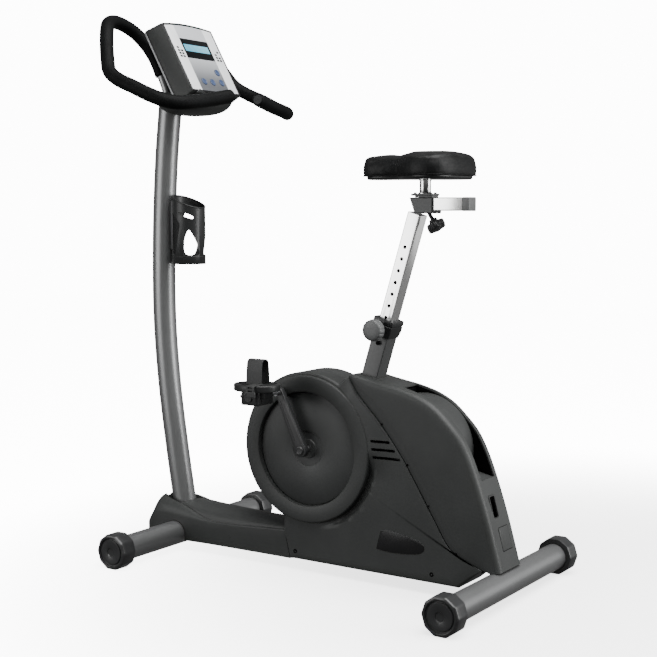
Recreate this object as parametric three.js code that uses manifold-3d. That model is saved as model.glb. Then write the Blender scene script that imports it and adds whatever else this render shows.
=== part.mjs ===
// Upright exercise bike, built as an assembly of separate pieces.
// Millimetres, +Z up, +X towards the rear of the bike, +Y towards the rider's right.
// Lengths are first laid out from the middle between the two stabilisers, and the whole
// group is then moved along X so that its bounding box is centred on the origin.

import * as THREE from "three";
import { mergeVertices } from "three/addons/utils/BufferGeometryUtils.js";
import Module from "manifold-3d";

const wasm = await Module();
wasm.setup();

// ---------- driving dimensions ----------
const gap = 0.3; // clearance between pieces that touch
const layoutShift = 54.26; // moves the layout so that the bounding box is centred

const stabiliserX = 521; // distance of each stabiliser from the middle
const stabiliserZ = 49;
const stabiliserRadius = 35;
const stabiliserWall = 2.5;
const overallHalfWidth = 349; // to the outer face of the end caps
const capLength = 50;
const capSides = 10;
const capRadius = stabiliserZ / Math.cos(Math.PI / capSides); // a flat rests on the floor

const beamWidth = 60;
const beamHeight = 30;
const beamWall = 3;
const beamBottom = stabiliserZ + stabiliserRadius + gap;
const beamTop = beamBottom + beamHeight;
const beamFront = -575;
const beamRear = 500;

const mastRadius = 34;
const mastWall = 2.5;

const housingHalfWidth = 65;
const housingWall = 3.5;
const housingBottom = 32;
const drumRadius = 212; // round front of the housing, about the crank
const crank = { x: -52, z: 346 };
const crankLength = 170;
const crankLean = THREE.MathUtils.degToRad(25); // left arm from vertical, towards the front
const armInner = 82; // inner face of each crank arm
const armThickness = 16;
const armWidth = 23;
const axleRadius = 8.5;
const ringRadius = 203.5;
const ringInner = 158;
const ringOuterFace = 75;
const dishFace = 57; // floor of the dish inside the moulded ring
const discRadius = 155.5;
const discThickness = 4.2;

const flywheelCentre = { x: 265, z: 372 };
const flywheelRadius = 125;
const pulleyRadius = 130;
const smallPulleyRadius = 22;
const beltY = 44; // middle of the belt
const beltWidth = 10;
const beltThickness = 2.4;

const seatTilt = THREE.MathUtils.degToRad(17); // seat post leans towards the rear
const seatAxis = { x: 172, z: 715 }; // point of the post's axis at the lowest free hole
const postWidth = 40;
const postWall = 2;
const postTop = 288; // along the axis, from the point above
const postBottom = -330;
const holePitch = 32.6;
const holeRadius = 5;
const sleeveWidth = 50;
const sleeveWall = 2.7;
const sleeveTop = -8;
const sleeveBottom = -610;
const pinHeight = -holePitch; // pull knob's axis on the collar

const sliderTop = 1031;
const sliderBottom = 996.5;
const saddleBottom = 1086;
const saddleTop = 1146;
const columnX = 278;

const pedalY = 195;
const pedalRise = 36; // top of the platform above the pedal's axle
const pedalHalf = { x: 66, y: 56 };

const consoleTilt = THREE.MathUtils.degToRad(29.5);
const consoleFoot = { x: -404, z: 1322 }; // lower front edge of the console
const consoleWidth = 222;
const consoleHeight = 231;
const consoleDepth = 56;
const screen = { width: 124, height: 65, z: 156 };
const buttonRadius = 10.5;
const buttonPlaces = [
  [44, 82],
  [-36, 46],
  [2, 46],
  [44, 48],
];

const gripRadius = 19.5;
const barRadius = 14;
const barWall = 2;

const cageX = -517;
const cageRadius = 48;
const cageWall = 3.5;
const cageBottom = 840;

// ---------- materials ----------
function finish(colour, roughness, metalness = 0) {
  return () => new THREE.MeshStandardMaterial({ color: colour, roughness, metalness });
}

const housingPlastic = finish(0x383a39, 0.55);
const blackPlastic = finish(0x1b1c1c, 0.5);
const greyPlastic = finish(0x5a5c5b, 0.5);
const satinGrey = finish(0x8d8f8f, 0.38, 0.75);
const brightMetal = finish(0xdedede, 0.22, 0.9);
const steel = finish(0x9a9b9c, 0.35, 0.9);
const castIron = finish(0x4a4b4d, 0.5, 0.7);
const foam = finish(0x141515, 0.85);
const vinyl = finish(0x1a1b1b, 0.6);
const rubber = finish(0x161616, 0.8);
const panelSilver = finish(0xd6d8d8, 0.35, 0.2);
const displayGlass = finish(0x0a0d10, 0.1);
const buttonBlue = finish(0x2c3a57, 0.4);

// ---------- geometry helpers ----------
function toSolid(geometry) {
  const plain = geometry.clone();
  plain.deleteAttribute("normal");
  plain.deleteAttribute("uv");
  const merged = mergeVertices(plain, 1e-4);
  return new wasm.Manifold(
    new wasm.Mesh({
      numProp: 3,
      vertProperties: new Float32Array(merged.attributes.position.array),
      triVerts: new Uint32Array(merged.index.array),
    }),
  );
}

function toGeometry(solid) {
  const mesh = solid.getMesh();
  const geometry = new THREE.BufferGeometry();
  geometry.setAttribute("position", new THREE.BufferAttribute(mesh.vertProperties, 3));
  geometry.setIndex(new THREE.BufferAttribute(mesh.triVerts, 1));
  return geometry;
}

function cut(geometry, ...tools) {
  return toGeometry(tools.reduce((rest, tool) => rest.subtract(toSolid(tool)), toSolid(geometry)));
}

function join(geometry, ...others) {
  return toGeometry(others.reduce((sum, other) => sum.add(toSolid(other)), toSolid(geometry)));
}

function block(sizeX, sizeY, sizeZ, x = 0, y = 0, z = 0) {
  return new THREE.BoxGeometry(sizeX, sizeY, sizeZ).translate(x, y, z);
}

// A closed path through [x, y] points.
function shapeOf(points, holes = []) {
  const shape = new THREE.Shape(points.map(([x, y]) => new THREE.Vector2(x, y)));
  shape.holes = holes.map((hole) => new THREE.Path(hole.map(([x, y]) => new THREE.Vector2(x, y))));
  return shape;
}

function circlePoints(radius, sides, x = 0, y = 0, turn = 0) {
  return Array.from({ length: sides }, (_, i) => {
    const angle = turn + (2 * Math.PI * i) / sides;
    return [x + radius * Math.cos(angle), y + radius * Math.sin(angle)];
  });
}

function arcPoints(radius, from, to, steps, x = 0, y = 0) {
  return Array.from({ length: steps + 1 }, (_, i) => {
    const angle = THREE.MathUtils.degToRad(from + ((to - from) * i) / steps);
    return [x + radius * Math.cos(angle), y + radius * Math.sin(angle)];
  });
}

function rectPoints(width, height, x = 0, y = 0) {
  const [w, h] = [width / 2, height / 2];
  return [
    [x - w, y - h],
    [x + w, y - h],
    [x + w, y + h],
    [x - w, y + h],
  ];
}

// Smooth outline through a few points.
function smoothPoints(points, steps, closed = false) {
  const curve = new THREE.CatmullRomCurve3(
    points.map(([x, y]) => new THREE.Vector3(x, y, 0)),
    closed,
  );
  const found = curve.getPoints(steps).map((p) => [p.x, p.y]);
  return closed ? found.slice(0, -1) : found;
}

function extrude(shape, depth) {
  return new THREE.ExtrudeGeometry(shape, { depth, bevelEnabled: false, curveSegments: 8 });
}

// Side profile in (x, z), between two values of y.
function sideProfile(shape, fromY, toY) {
  return extrude(shape, toY - fromY).rotateX(Math.PI / 2).translate(0, toY, 0);
}

// Cross-section in (y, z), between two values of x.
function crossProfile(shape, fromX, toX) {
  const turn = new THREE.Matrix4().makeBasis(
    new THREE.Vector3(0, 1, 0),
    new THREE.Vector3(0, 0, 1),
    new THREE.Vector3(1, 0, 0),
  );
  return extrude(shape, toX - fromX).applyMatrix4(turn).translate(fromX, 0, 0);
}

// Solid turned about the Y axis from [radius, y] points; the last point meets the first
// when the profile stays off the axis.
function turned(profile, sides) {
  const onAxis = profile[0][0] === 0;
  const points = onAxis ? profile : [...profile, profile[0]];
  return new THREE.LatheGeometry(
    points.map(([r, y]) => new THREE.Vector2(r, y)),
    sides,
  );
}

function hollowTurned(outer, inner, fromY, toY, sides) {
  return turned(
    [
      [inner, fromY],
      [outer, fromY],
      [outer, toY],
      [inner, toY],
    ],
    sides,
  );
}

function along(curve, shape, steps) {
  return new THREE.ExtrudeGeometry(shape, { extrudePath: curve, steps, bevelEnabled: false });
}

function piece(name, geometry, material, parent = bike) {
  const mesh = new THREE.Mesh(geometry, material());
  mesh.name = name;
  parent.add(mesh);
  return mesh;
}

const bike = new THREE.Group();
bike.position.x = layoutShift;
const sides = [
  { side: "left", sign: -1 },
  { side: "right", sign: 1 },
];

// Geometry of the layout frame seen from a tilted group, and back.
function tiltedAbout(x, z, tilt) {
  const group = new THREE.Group();
  group.position.set(x, 0, z);
  group.rotation.y = tilt;
  bike.add(group);
  group.updateMatrix();
  return group;
}

const seatGroup = tiltedAbout(seatAxis.x, seatAxis.z, seatTilt);
const consoleGroup = tiltedAbout(consoleFoot.x, consoleFoot.z, -consoleTilt);

// ---------- stabilisers ----------
function stabilisers() {
  const tubeEnd = overallHalfWidth - 14;
  const bore = stabiliserRadius + gap;
  for (const [end, x] of [["front", -stabiliserX], ["rear", stabiliserX]]) {
    const tube = hollowTurned(stabiliserRadius, stabiliserRadius - stabiliserWall, -tubeEnd, tubeEnd, 18);
    piece(`${end}_stabiliser_tube`, tube, satinGrey).position.set(x, 0, stabiliserZ);
    for (const { side, sign } of sides) {
      const outline = circlePoints(capRadius, capSides);
      const body = extrude(shapeOf(outline), capLength).rotateX(Math.PI / 2).translate(0, capLength / 2, 0);
      const socket = new THREE.CylinderGeometry(bore, bore, capLength, 18).translate(0, -13.6 * sign, 0);
      const faceRecess = new THREE.CylinderGeometry(34, 36, 6, 20).translate(0, sign * capLength / 2, 0);
      if (sign < 0) faceRecess.rotateX(Math.PI).translate(0, -capLength, 0);
      const cap = piece(`${end}_${side}_end_cap`, cut(body, socket, faceRecess), blackPlastic);
      cap.position.set(x, sign * (overallHalfWidth - capLength / 2), stabiliserZ);
    }
  }
}

// ---------- welded frame ----------
const mastCurve = new THREE.CatmullRomCurve3([
  new THREE.Vector3(-542, 0, 120),
  new THREE.Vector3(-573, 0, 305),
  new THREE.Vector3(-599, 0, 490),
  new THREE.Vector3(-614, 0, 680),
  new THREE.Vector3(-614, 0, 900),
  new THREE.Vector3(-601, 0, 1140),
  new THREE.Vector3(-580, 0, 1335),
]);

function frame() {
  const beamZ = (beamBottom + beamTop) / 2;
  const beamSection = shapeOf(rectPoints(beamWidth, beamHeight, 0, beamZ), [
    rectPoints(beamWidth - 2 * beamWall, beamHeight - 2 * beamWall, 0, beamZ),
  ]);
  piece("frame_beam", crossProfile(beamSection, beamFront, beamRear), satinGrey);

  const ring = shapeOf(circlePoints(mastRadius, 16), [circlePoints(mastRadius - mastWall, 12)]);
  piece("mast_tube", along(mastCurve, ring, 14), satinGrey);

  const sleeveRing = shapeOf(rectPoints(sleeveWidth, sleeveWidth), [
    rectPoints(sleeveWidth - 2 * sleeveWall, sleeveWidth - 2 * sleeveWall),
  ]);
  const sleeve = extrude(sleeveRing, sleeveTop - sleeveBottom).translate(0, 0, sleeveBottom);
  const pin = new THREE.CylinderGeometry(7, 7, 40, 16).translate(0, -sleeveWidth / 2, pinHeight);
  piece("seat_sleeve", cut(sleeve, pin), greyPlastic, seatGroup);

  const shellRadius = 24;
  const supportTop = crank.z - shellRadius + 3;
  const support = extrude(
    shapeOf(rectPoints(40, 40), [rectPoints(35, 35)]),
    supportTop - beamTop - gap,
  );
  support.translate(0, 0, beamTop + gap - crank.z);
  const shell = hollowTurned(shellRadius, 17.5, -38, 30, 16);
  piece("crank_support", join(support, shell), satinGrey).position.set(crank.x, 0, crank.z);
  for (const [side, y] of [["left", -38], ["right", 18]]) {
    const bearing = hollowTurned(17.2, axleRadius + gap, y, y + 12, 12);
    piece(`${side}_crank_bearing`, bearing, steel).position.set(crank.x, 0, crank.z);
  }
}

// ---------- drive ----------
// Two plates that carry the flywheel's axle, joined by a foot on the beam.
function flywheelBracket() {
  const [low, high] = [beamTop + gap, flywheelCentre.z + 25];
  const [left, right, plate] = [-34, 59, 5];
  const section = shapeOf([
    [left, low],
    [right, low],
    [right, high],
    [right - plate, high],
    [right - plate, low + plate],
    [left + plate, low + plate],
    [left + plate, high],
    [left, high],
  ]);
  const body = crossProfile(section, flywheelCentre.x - 20, flywheelCentre.x + 20);
  const bore = new THREE.CylinderGeometry(axleRadius + gap, axleRadius + gap, 200, 20);
  bore.translate(flywheelCentre.x, 0, flywheelCentre.z);
  piece("flywheel_bracket", cut(body, bore), satinGrey);
}

function beltLoop(offset, steps) {
  const [dx, dz] = [flywheelCentre.x - crank.x, flywheelCentre.z - crank.z];
  const line = THREE.MathUtils.radToDeg(Math.atan2(dz, dx));
  const spread = THREE.MathUtils.radToDeg(
    Math.acos((pulleyRadius - smallPulleyRadius) / Math.hypot(dx, dz)),
  );
  const big = arcPoints(pulleyRadius + offset, line + spread, line + 360 - spread, steps, crank.x, crank.z);
  const small = arcPoints(
    smallPulleyRadius + offset,
    line - spread,
    line + spread,
    8,
    flywheelCentre.x,
    flywheelCentre.z,
  );
  return [...big, ...small];
}

function drive() {
  const bore = axleRadius + gap;
  const flywheel = turned(
    [
      [bore, -28],
      [24, -28],
      [24, -5],
      [flywheelRadius - 26, -5],
      [flywheelRadius - 20, -13],
      [flywheelRadius, -13],
      [flywheelRadius, 13],
      [flywheelRadius - 20, 13],
      [flywheelRadius - 26, 5],
      [24, 5],
      [24, beltY - beltWidth / 2 - 1 - gap],
      [bore, beltY - beltWidth / 2 - 1 - gap],
    ],
    28,
  );
  piece("flywheel", flywheel, castIron).position.set(flywheelCentre.x, 0, flywheelCentre.z);
  const axle = new THREE.CylinderGeometry(axleRadius, axleRadius, 94, 20).translate(0, 12.5, 0);
  piece("flywheel_axle", axle, steel).position.set(flywheelCentre.x, 0, flywheelCentre.z);
  const half = beltWidth / 2 + 1;
  const smallPulley = hollowTurned(smallPulleyRadius, bore, beltY - half, beltY + half, 28);
  piece("flywheel_pulley", smallPulley, steel).position.set(flywheelCentre.x, 0, flywheelCentre.z);
  const bigPulley = turned(
    [
      [bore, beltY - half - 4],
      [26, beltY - half - 4],
      [26, beltY - 3],
      [pulleyRadius - 12, beltY - 3],
      [pulleyRadius - 12, beltY - half],
      [pulleyRadius, beltY - half],
      [pulleyRadius, beltY + half],
      [pulleyRadius - 12, beltY + half],
      [pulleyRadius - 12, beltY + 3],
      [26, beltY + 3],
      [26, beltY + half],
      [bore, beltY + half],
    ],
    28,
  );
  piece("drive_pulley", bigPulley, greyPlastic).position.set(crank.x, 0, crank.z);
  const belt = shapeOf(beltLoop(1.5 + beltThickness, 26), [beltLoop(1.5, 26)]);
  piece("drive_belt", sideProfile(belt, beltY - beltWidth / 2, beltY + beltWidth / 2), rubber);

  const magnetTop = flywheelCentre.z - flywheelRadius + 24;
  const low = beamTop + 6;
  const magnet = shapeOf([
    [-22, low],
    [22, low],
    [22, magnetTop],
    [16, magnetTop],
    [16, magnetTop - 30],
    [-16, magnetTop - 30],
    [-16, magnetTop],
    [-22, magnetTop],
  ]);
  const width = 30;
  const body = crossProfile(magnet, flywheelCentre.x - width, flywheelCentre.x + width);
  piece("brake_magnet_carrier", body, castIron);
}

// ---------- cranks and pedals ----------
function cranks() {
  const axleHalf = armInner + armThickness - 4;
  const axle = new THREE.CylinderGeometry(axleRadius, axleRadius, 2 * axleHalf, 20);
  piece("crank_axle", axle, steel).position.set(crank.x, 0, crank.z);
  for (const { side, sign } of sides) {
    // The left arm leans forward from vertical, and the right arm points the other way.
    const turn = sign < 0 ? -crankLean : Math.PI - crankLean;
    const arm = new THREE.Group();
    arm.position.set(crank.x, 0, crank.z);
    arm.rotation.y = turn;
    bike.add(arm);

    const outline = new THREE.Shape();
    const [root, tip] = [19, 12.5];
    outline.absarc(0, 0, root, Math.PI * 0.93, Math.PI * 2.07, false);
    outline.absarc(0, crankLength, tip, Math.PI * 0.03, Math.PI * 0.97, false);
    const [inner, outer] = [armInner, armInner + armThickness];
    const [fromY, toY] = sign < 0 ? [-outer, -inner] : [inner, outer];
    const body = sideProfile(outline, fromY, toY);
    const axleBore = new THREE.CylinderGeometry(axleRadius + gap, axleRadius + gap, 300, 20);
    const pedalBore = new THREE.CylinderGeometry(7.5 + gap, 7.5 + gap, 300, 16);
    pedalBore.translate(0, 0, crankLength);
    piece(`${side}_crank_arm`, cut(body, axleBore, pedalBore), blackPlastic, arm);

    const bolt = turned(
      [
        [0, axleHalf + gap],
        [axleRadius, axleHalf + gap],
        [axleRadius, outer],
        [11, outer + gap],
        [10, outer + 4],
        [0, outer + 5],
      ],
      14,
    );
    if (sign < 0) bolt.rotateX(Math.PI);
    piece(`${side}_crank_bolt`, bolt, blackPlastic, arm);

    const axleTip = pedalY + 38;
    const pedalAxle = turned(
      [
        [0, inner + 2],
        [7.5, inner + 2],
        [7.5, outer + 14],
        [6, outer + 14],
        [6, axleTip],
        [0, axleTip],
      ],
      12,
    );
    if (sign < 0) pedalAxle.rotateX(Math.PI);
    piece(`${side}_pedal_axle`, pedalAxle, steel, arm).position.z = crankLength;

    const discBack = dishFace + gap;
    const discFront = discBack + discThickness;
    const disc = turned(
      [
        [axleRadius + gap, discBack],
        [discRadius, discBack],
        [discRadius, discFront - 2],
        [discRadius - 3, discFront],
        [50, discFront],
        [46, discFront - 2.5],
        [axleRadius + gap, discFront - 2.5],
      ],
      40,
    );
    if (sign < 0) disc.rotateX(Math.PI);
    piece(`${side}_crank_disc`, disc, housingPlastic, arm);
    pedal(side, sign, arm);
  }
}

function pedal(side, sign, arm) {
  // The pedal stays level whatever the arm's angle.
  const level = new THREE.Group();
  level.position.set(0, sign * pedalY, crankLength);
  level.rotation.y = -arm.rotation.y;
  arm.add(level);

  const oval = circlePoints(1, 26).map(([x, y]) => [x * pedalHalf.x, y * pedalHalf.y]);
  const platform = extrude(shapeOf(oval), 18).translate(0, 0, pedalRise - 18);
  const weight = block(78, 96, 41, 0, 0, pedalRise - 37.5);
  const slit = block(46, 5, 60, -4, -sign * 34, pedalRise);
  const axleBore = new THREE.CylinderGeometry(7.8, 7.8, 300, 16);
  const body = cut(join(platform, weight), axleBore, slit);
  piece(`${side}_pedal_body`, body, blackPlastic, level);

  // A moulded strap: it stands in an arch over the platform, and its outer end runs down
  // over the rim to the buckle.
  const [half, wall, rise] = [18, 3, 67];
  const [low, high] = [pedalRise + gap, pedalRise + rise];
  const outer = [
    [-half, low],
    [-half + 1, low + 32],
    [-half + 6, high - 7],
    [-half + 12, high],
    [half - 12, high],
    [half - 6, high - 7],
    [half - 1, low + 32],
    [half, low],
  ];
  const innerArch = [
    [half - wall, low],
    [half - wall - 1, low + 32],
    [half - wall - 5, high - 7 - wall],
    [-half + wall + 5, high - 7 - wall],
    [-half + wall + 1, low + 32],
    [-half + wall, low],
  ];
  const arch = crossProfile(shapeOf([...outer, ...innerArch]), -22, 28);
  const rim = pedalHalf.y + 1.5;
  const tail = crossProfile(
    shapeOf([
      [half - wall, low],
      [rim, low],
      [rim, pedalRise - 28],
      [rim + wall, pedalRise - 28],
      [rim + wall, low + wall],
      [half - wall, low + wall],
    ]),
    8,
    34,
  );
  if (sign < 0) tail.rotateZ(Math.PI).translate(42, 0, 0);
  piece(`${side}_pedal_strap`, join(arch, tail), rubber, level);
}

// ---------- housing ----------
// Joint line between the side covers and the rear spine cover, from the bottom up.
const seamPoints = smoothPoints(
  [
    [486, 88],
    [400, 125],
    [343, 206],
    [299, 277],
    [244, 361],
    [177, 443],
    [113, 509],
    [84, 553],
  ],
  14,
);
// Back of the spine cover, from the bottom up.
const backPoints = smoothPoints(
  [
    [537, 88],
    [500, 218],
    [470, 307],
    [444, 372],
    [415, 424],
    [380, 462],
    [343, 494],
    [300, 517],
    [247, 533],
    [183, 545],
    [90, 562],
  ],
  16,
);

function sleeveTunnel(margin) {
  const width = sleeveWidth + 2 * margin;
  const tool = block(width, width, 760, 0, 0, -300);
  return tool.applyMatrix4(seatGroup.matrix);
}

function sideCovers() {
  const start = Math.asin((150 - crank.z) / drumRadius);
  const startAngle = 180 - THREE.MathUtils.radToDeg(start);
  const drum = (radius, steps) => arcPoints(radius, startAngle, 61, steps, crank.x, crank.z);
  const coverSeam = seamPoints.map(([x, z]) => [x - gap / 2, z]);
  const outline = [
    [-109, housingBottom],
    [-127, 100],
    ...drum(drumRadius, 24),
    ...[...coverSeam].reverse(),
    [418, housingBottom],
  ];
  const hollow = [
    [-160, housingBottom + housingWall],
    [-160, 148],
    ...drum(drumRadius - housingWall, 24),
    ...[...seamPoints].reverse().map(([x, z]) => [x + 30, z + 20]),
    [416, housingBottom + housingWall],
  ];
  const vents = Array.from({ length: 3 }, (_, i) => {
    const length = 56 + 13 * i;
    return block(length, 40, 8, 157 + 3 * i + length / 2, 0, 389.5 - 21.5 * i);
  });
  for (const { side, sign } of sides) {
    const [fromY, toY] = sign < 0 ? [-housingHalfWidth, -gap / 2] : [gap / 2, housingHalfWidth];
    const wallY = housingHalfWidth - housingWall;
    const [hollowFrom, hollowTo] = sign < 0 ? [-wallY, 5] : [-5, wallY];
    const shell = sideProfile(shapeOf(outline), fromY, toY);
    const inside = sideProfile(shapeOf(hollow), hollowFrom, hollowTo);
    const axleHole = new THREE.CylinderGeometry(30, 30, 200, 28).translate(crank.x, 0, crank.z);
    const slots = vents.map((vent) => vent.clone().translate(0, sign * housingHalfWidth, 0));
    const ring = turned(
      [
        [ringInner, housingHalfWidth - 2],
        [ringRadius, housingHalfWidth - 2],
        [ringRadius, ringOuterFace - 4],
        [ringRadius - 5, ringOuterFace],
        [ringInner + 3, ringOuterFace],
        [ringInner, ringOuterFace - 3],
      ],
      44,
    );
    if (sign < 0) ring.rotateX(Math.PI);
    ring.translate(crank.x, 0, crank.z);
    // Dish inside the ring, where the crank disc turns.
    const dishRadius = ringInner + 0.2;
    const floorDepth = housingHalfWidth - dishFace;
    const floorRadius = dishRadius + housingWall;
    const floor = new THREE.CylinderGeometry(floorRadius, floorRadius, floorDepth, 44);
    floor.translate(crank.x, sign * (dishFace - housingWall + floorDepth / 2), crank.z);
    const dish = new THREE.CylinderGeometry(dishRadius, dishRadius, 40, 44);
    dish.translate(crank.x, sign * (dishFace + 20), crank.z);
    const hollowed = cut(join(shell, ring), inside, sleeveTunnel(1), ...slots);
    piece(`${side}_side_cover`, cut(join(hollowed, floor), dish, axleHole), housingPlastic);
  }
}

function spineCover() {
  const spineSeam = seamPoints.map(([x, z]) => [x + gap / 2, z]);
  const region = [...spineSeam, ...[...backPoints].reverse()];
  const thickness = 4;
  const centre = new THREE.Vector2(150, 200);
  const inset = backPoints.map(([x, z]) => {
    const away = new THREE.Vector2(x, z).sub(centre).setLength(thickness);
    return [x - away.x, z - away.y];
  });
  const inner = [
    [380, 40],
    [100, 480],
    [60, 545],
    ...[...inset].reverse(),
    [inset[0][0], 40],
  ];
  const wallY = housingHalfWidth - thickness;
  const shell = sideProfile(shapeOf(region), -housingHalfWidth, housingHalfWidth);
  const inside = sideProfile(shapeOf(inner), -wallY, wallY);
  // Long cooling slot over the flywheel.
  const slotHalf = 37;
  const slot = sideProfile(
    shapeOf([
      [232, 640],
      [236, 430],
      [300, 430],
      [380, 330],
      [440, 312],
      [560, 312],
      [560, 640],
    ]),
    -slotHalf,
    slotHalf,
  );
  // Recess of the power inlet, and its opening.
  const inletHole = block(90, 26, 56, 500, -12, 244);
  const body = cut(shell, inside, slot, inletHole, sleeveTunnel(1));
  piece("rear_spine_cover", body, housingPlastic);

  // Curved cover over the flywheel, seen through the slot.
  const guardRadius = 143;
  const guard = sideProfile(
    shapeOf([
      ...arcPoints(guardRadius, 108, -8, 16, flywheelCentre.x, flywheelCentre.z),
      ...arcPoints(guardRadius - 3, -8, 108, 16, flywheelCentre.x, flywheelCentre.z),
    ]),
    1 - slotHalf,
    slotHalf - 1,
  );
  piece("flywheel_guard", guard, housingPlastic);

  // Power inlet set back in its opening.
  const inlet = cut(
    block(26, 25, 55, 468, -12, 244),
    block(20, 14, 22, 475, -12, 256),
    block(10, 12, 14, 478, -12, 230),
  );
  piece("power_inlet", inlet, blackPlastic);
}

// A closed body through rings of points with the same count, each ring in its own plane.
function loft(rings) {
  const count = rings[0].length;
  const positions = rings.flat(2);
  const index = [];
  for (let r = 0; r + 1 < rings.length; r += 1) {
    for (let i = 0; i < count; i += 1) {
      const [a, b] = [r * count + i, r * count + ((i + 1) % count)];
      index.push(a, b, b + count, a, b + count, a + count);
    }
  }
  const last = (rings.length - 1) * count;
  for (const [ring, base] of [[rings[0], 0], [rings[rings.length - 1], last]]) {
    const centre = ring
      .reduce((sum, p) => sum.map((v, k) => v + p[k]), [0, 0, 0])
      .map((v) => v / count);
    const middle = positions.length / 3;
    positions.push(...centre);
    for (let i = 0; i < count; i += 1) {
      const [a, b] = [base + i, base + ((i + 1) % count)];
      index.push(...(base === 0 ? [b, a, middle] : [a, b, middle]));
    }
  }
  const geometry = new THREE.BufferGeometry();
  geometry.setAttribute("position", new THREE.Float32BufferAttribute(positions, 3));
  geometry.setIndex(index);
  return geometry;
}

// Arched section of the base cover at x: straight sides, a shoulder and a low crown.
function baseRing(x, half, shoulder, crown, bottom, slant = 0) {
  const profile = [
    [half, bottom],
    [half, shoulder - 12],
    [half - 5, shoulder],
    [half * 0.66, shoulder + (crown - shoulder) * 0.6],
    [half * 0.33, crown - 2],
    [0, crown],
  ];
  const mirrored = profile.slice(0, -1).reverse();
  return [...profile, ...mirrored.map(([y, z]) => [-y, z])].map(([y, z]) => {
    return [x + slant * (100 - z), y, z];
  });
}

function baseCover() {
  // x, half width, shoulder height, crown height
  const stations = [
    [-650, 34, 60, 66],
    [-644, 52, 74, 84],
    [-625, 66, 90, 104],
    [-595, 74, 108, 128],
    [-560, 76, 128, 150],
    [-520, 74, 118, 150],
    [-470, 70, 104, 142],
    [-400, 66, 98, 136],
    [-280, 62, 104, 132],
    [-128, 60, 116, 128],
  ];
  const wall = 3.5;
  const slantAt = (i) => (i === stations.length - 1 ? 0.26 : 0);
  const outer = loft(
    stations.map(([x, half, low, high], i) => baseRing(x, half, low, high, 30, slantAt(i))),
  );
  const inner = loft(
    stations.map(([x, half, low, high], i) => {
      const shift = i === 0 ? wall : i === stations.length - 1 ? 10 : 0;
      return baseRing(x + shift, half - wall, low - wall, high - wall, 10);
    }),
  );
  const tubeCut = new THREE.CylinderGeometry(stabiliserRadius + 1.5, stabiliserRadius + 1.5, 400, 28);
  tubeCut.translate(-stabiliserX, 0, stabiliserZ);
  const footCut = block(2 * (stabiliserRadius + 1.5), 400, 40, -stabiliserX, 0, stabiliserZ - 20);
  const mastCut = along(mastCurve, shapeOf(circlePoints(mastRadius + 2.5, 16)), 14);
  const ringCut = new THREE.CylinderGeometry(drumRadius + 1.5, drumRadius + 1.5, 400, 36);
  ringCut.translate(crank.x, 0, crank.z);
  piece("base_cover", cut(outer, inner, tubeCut, footCut, mastCut, ringCut), housingPlastic);
}

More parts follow.
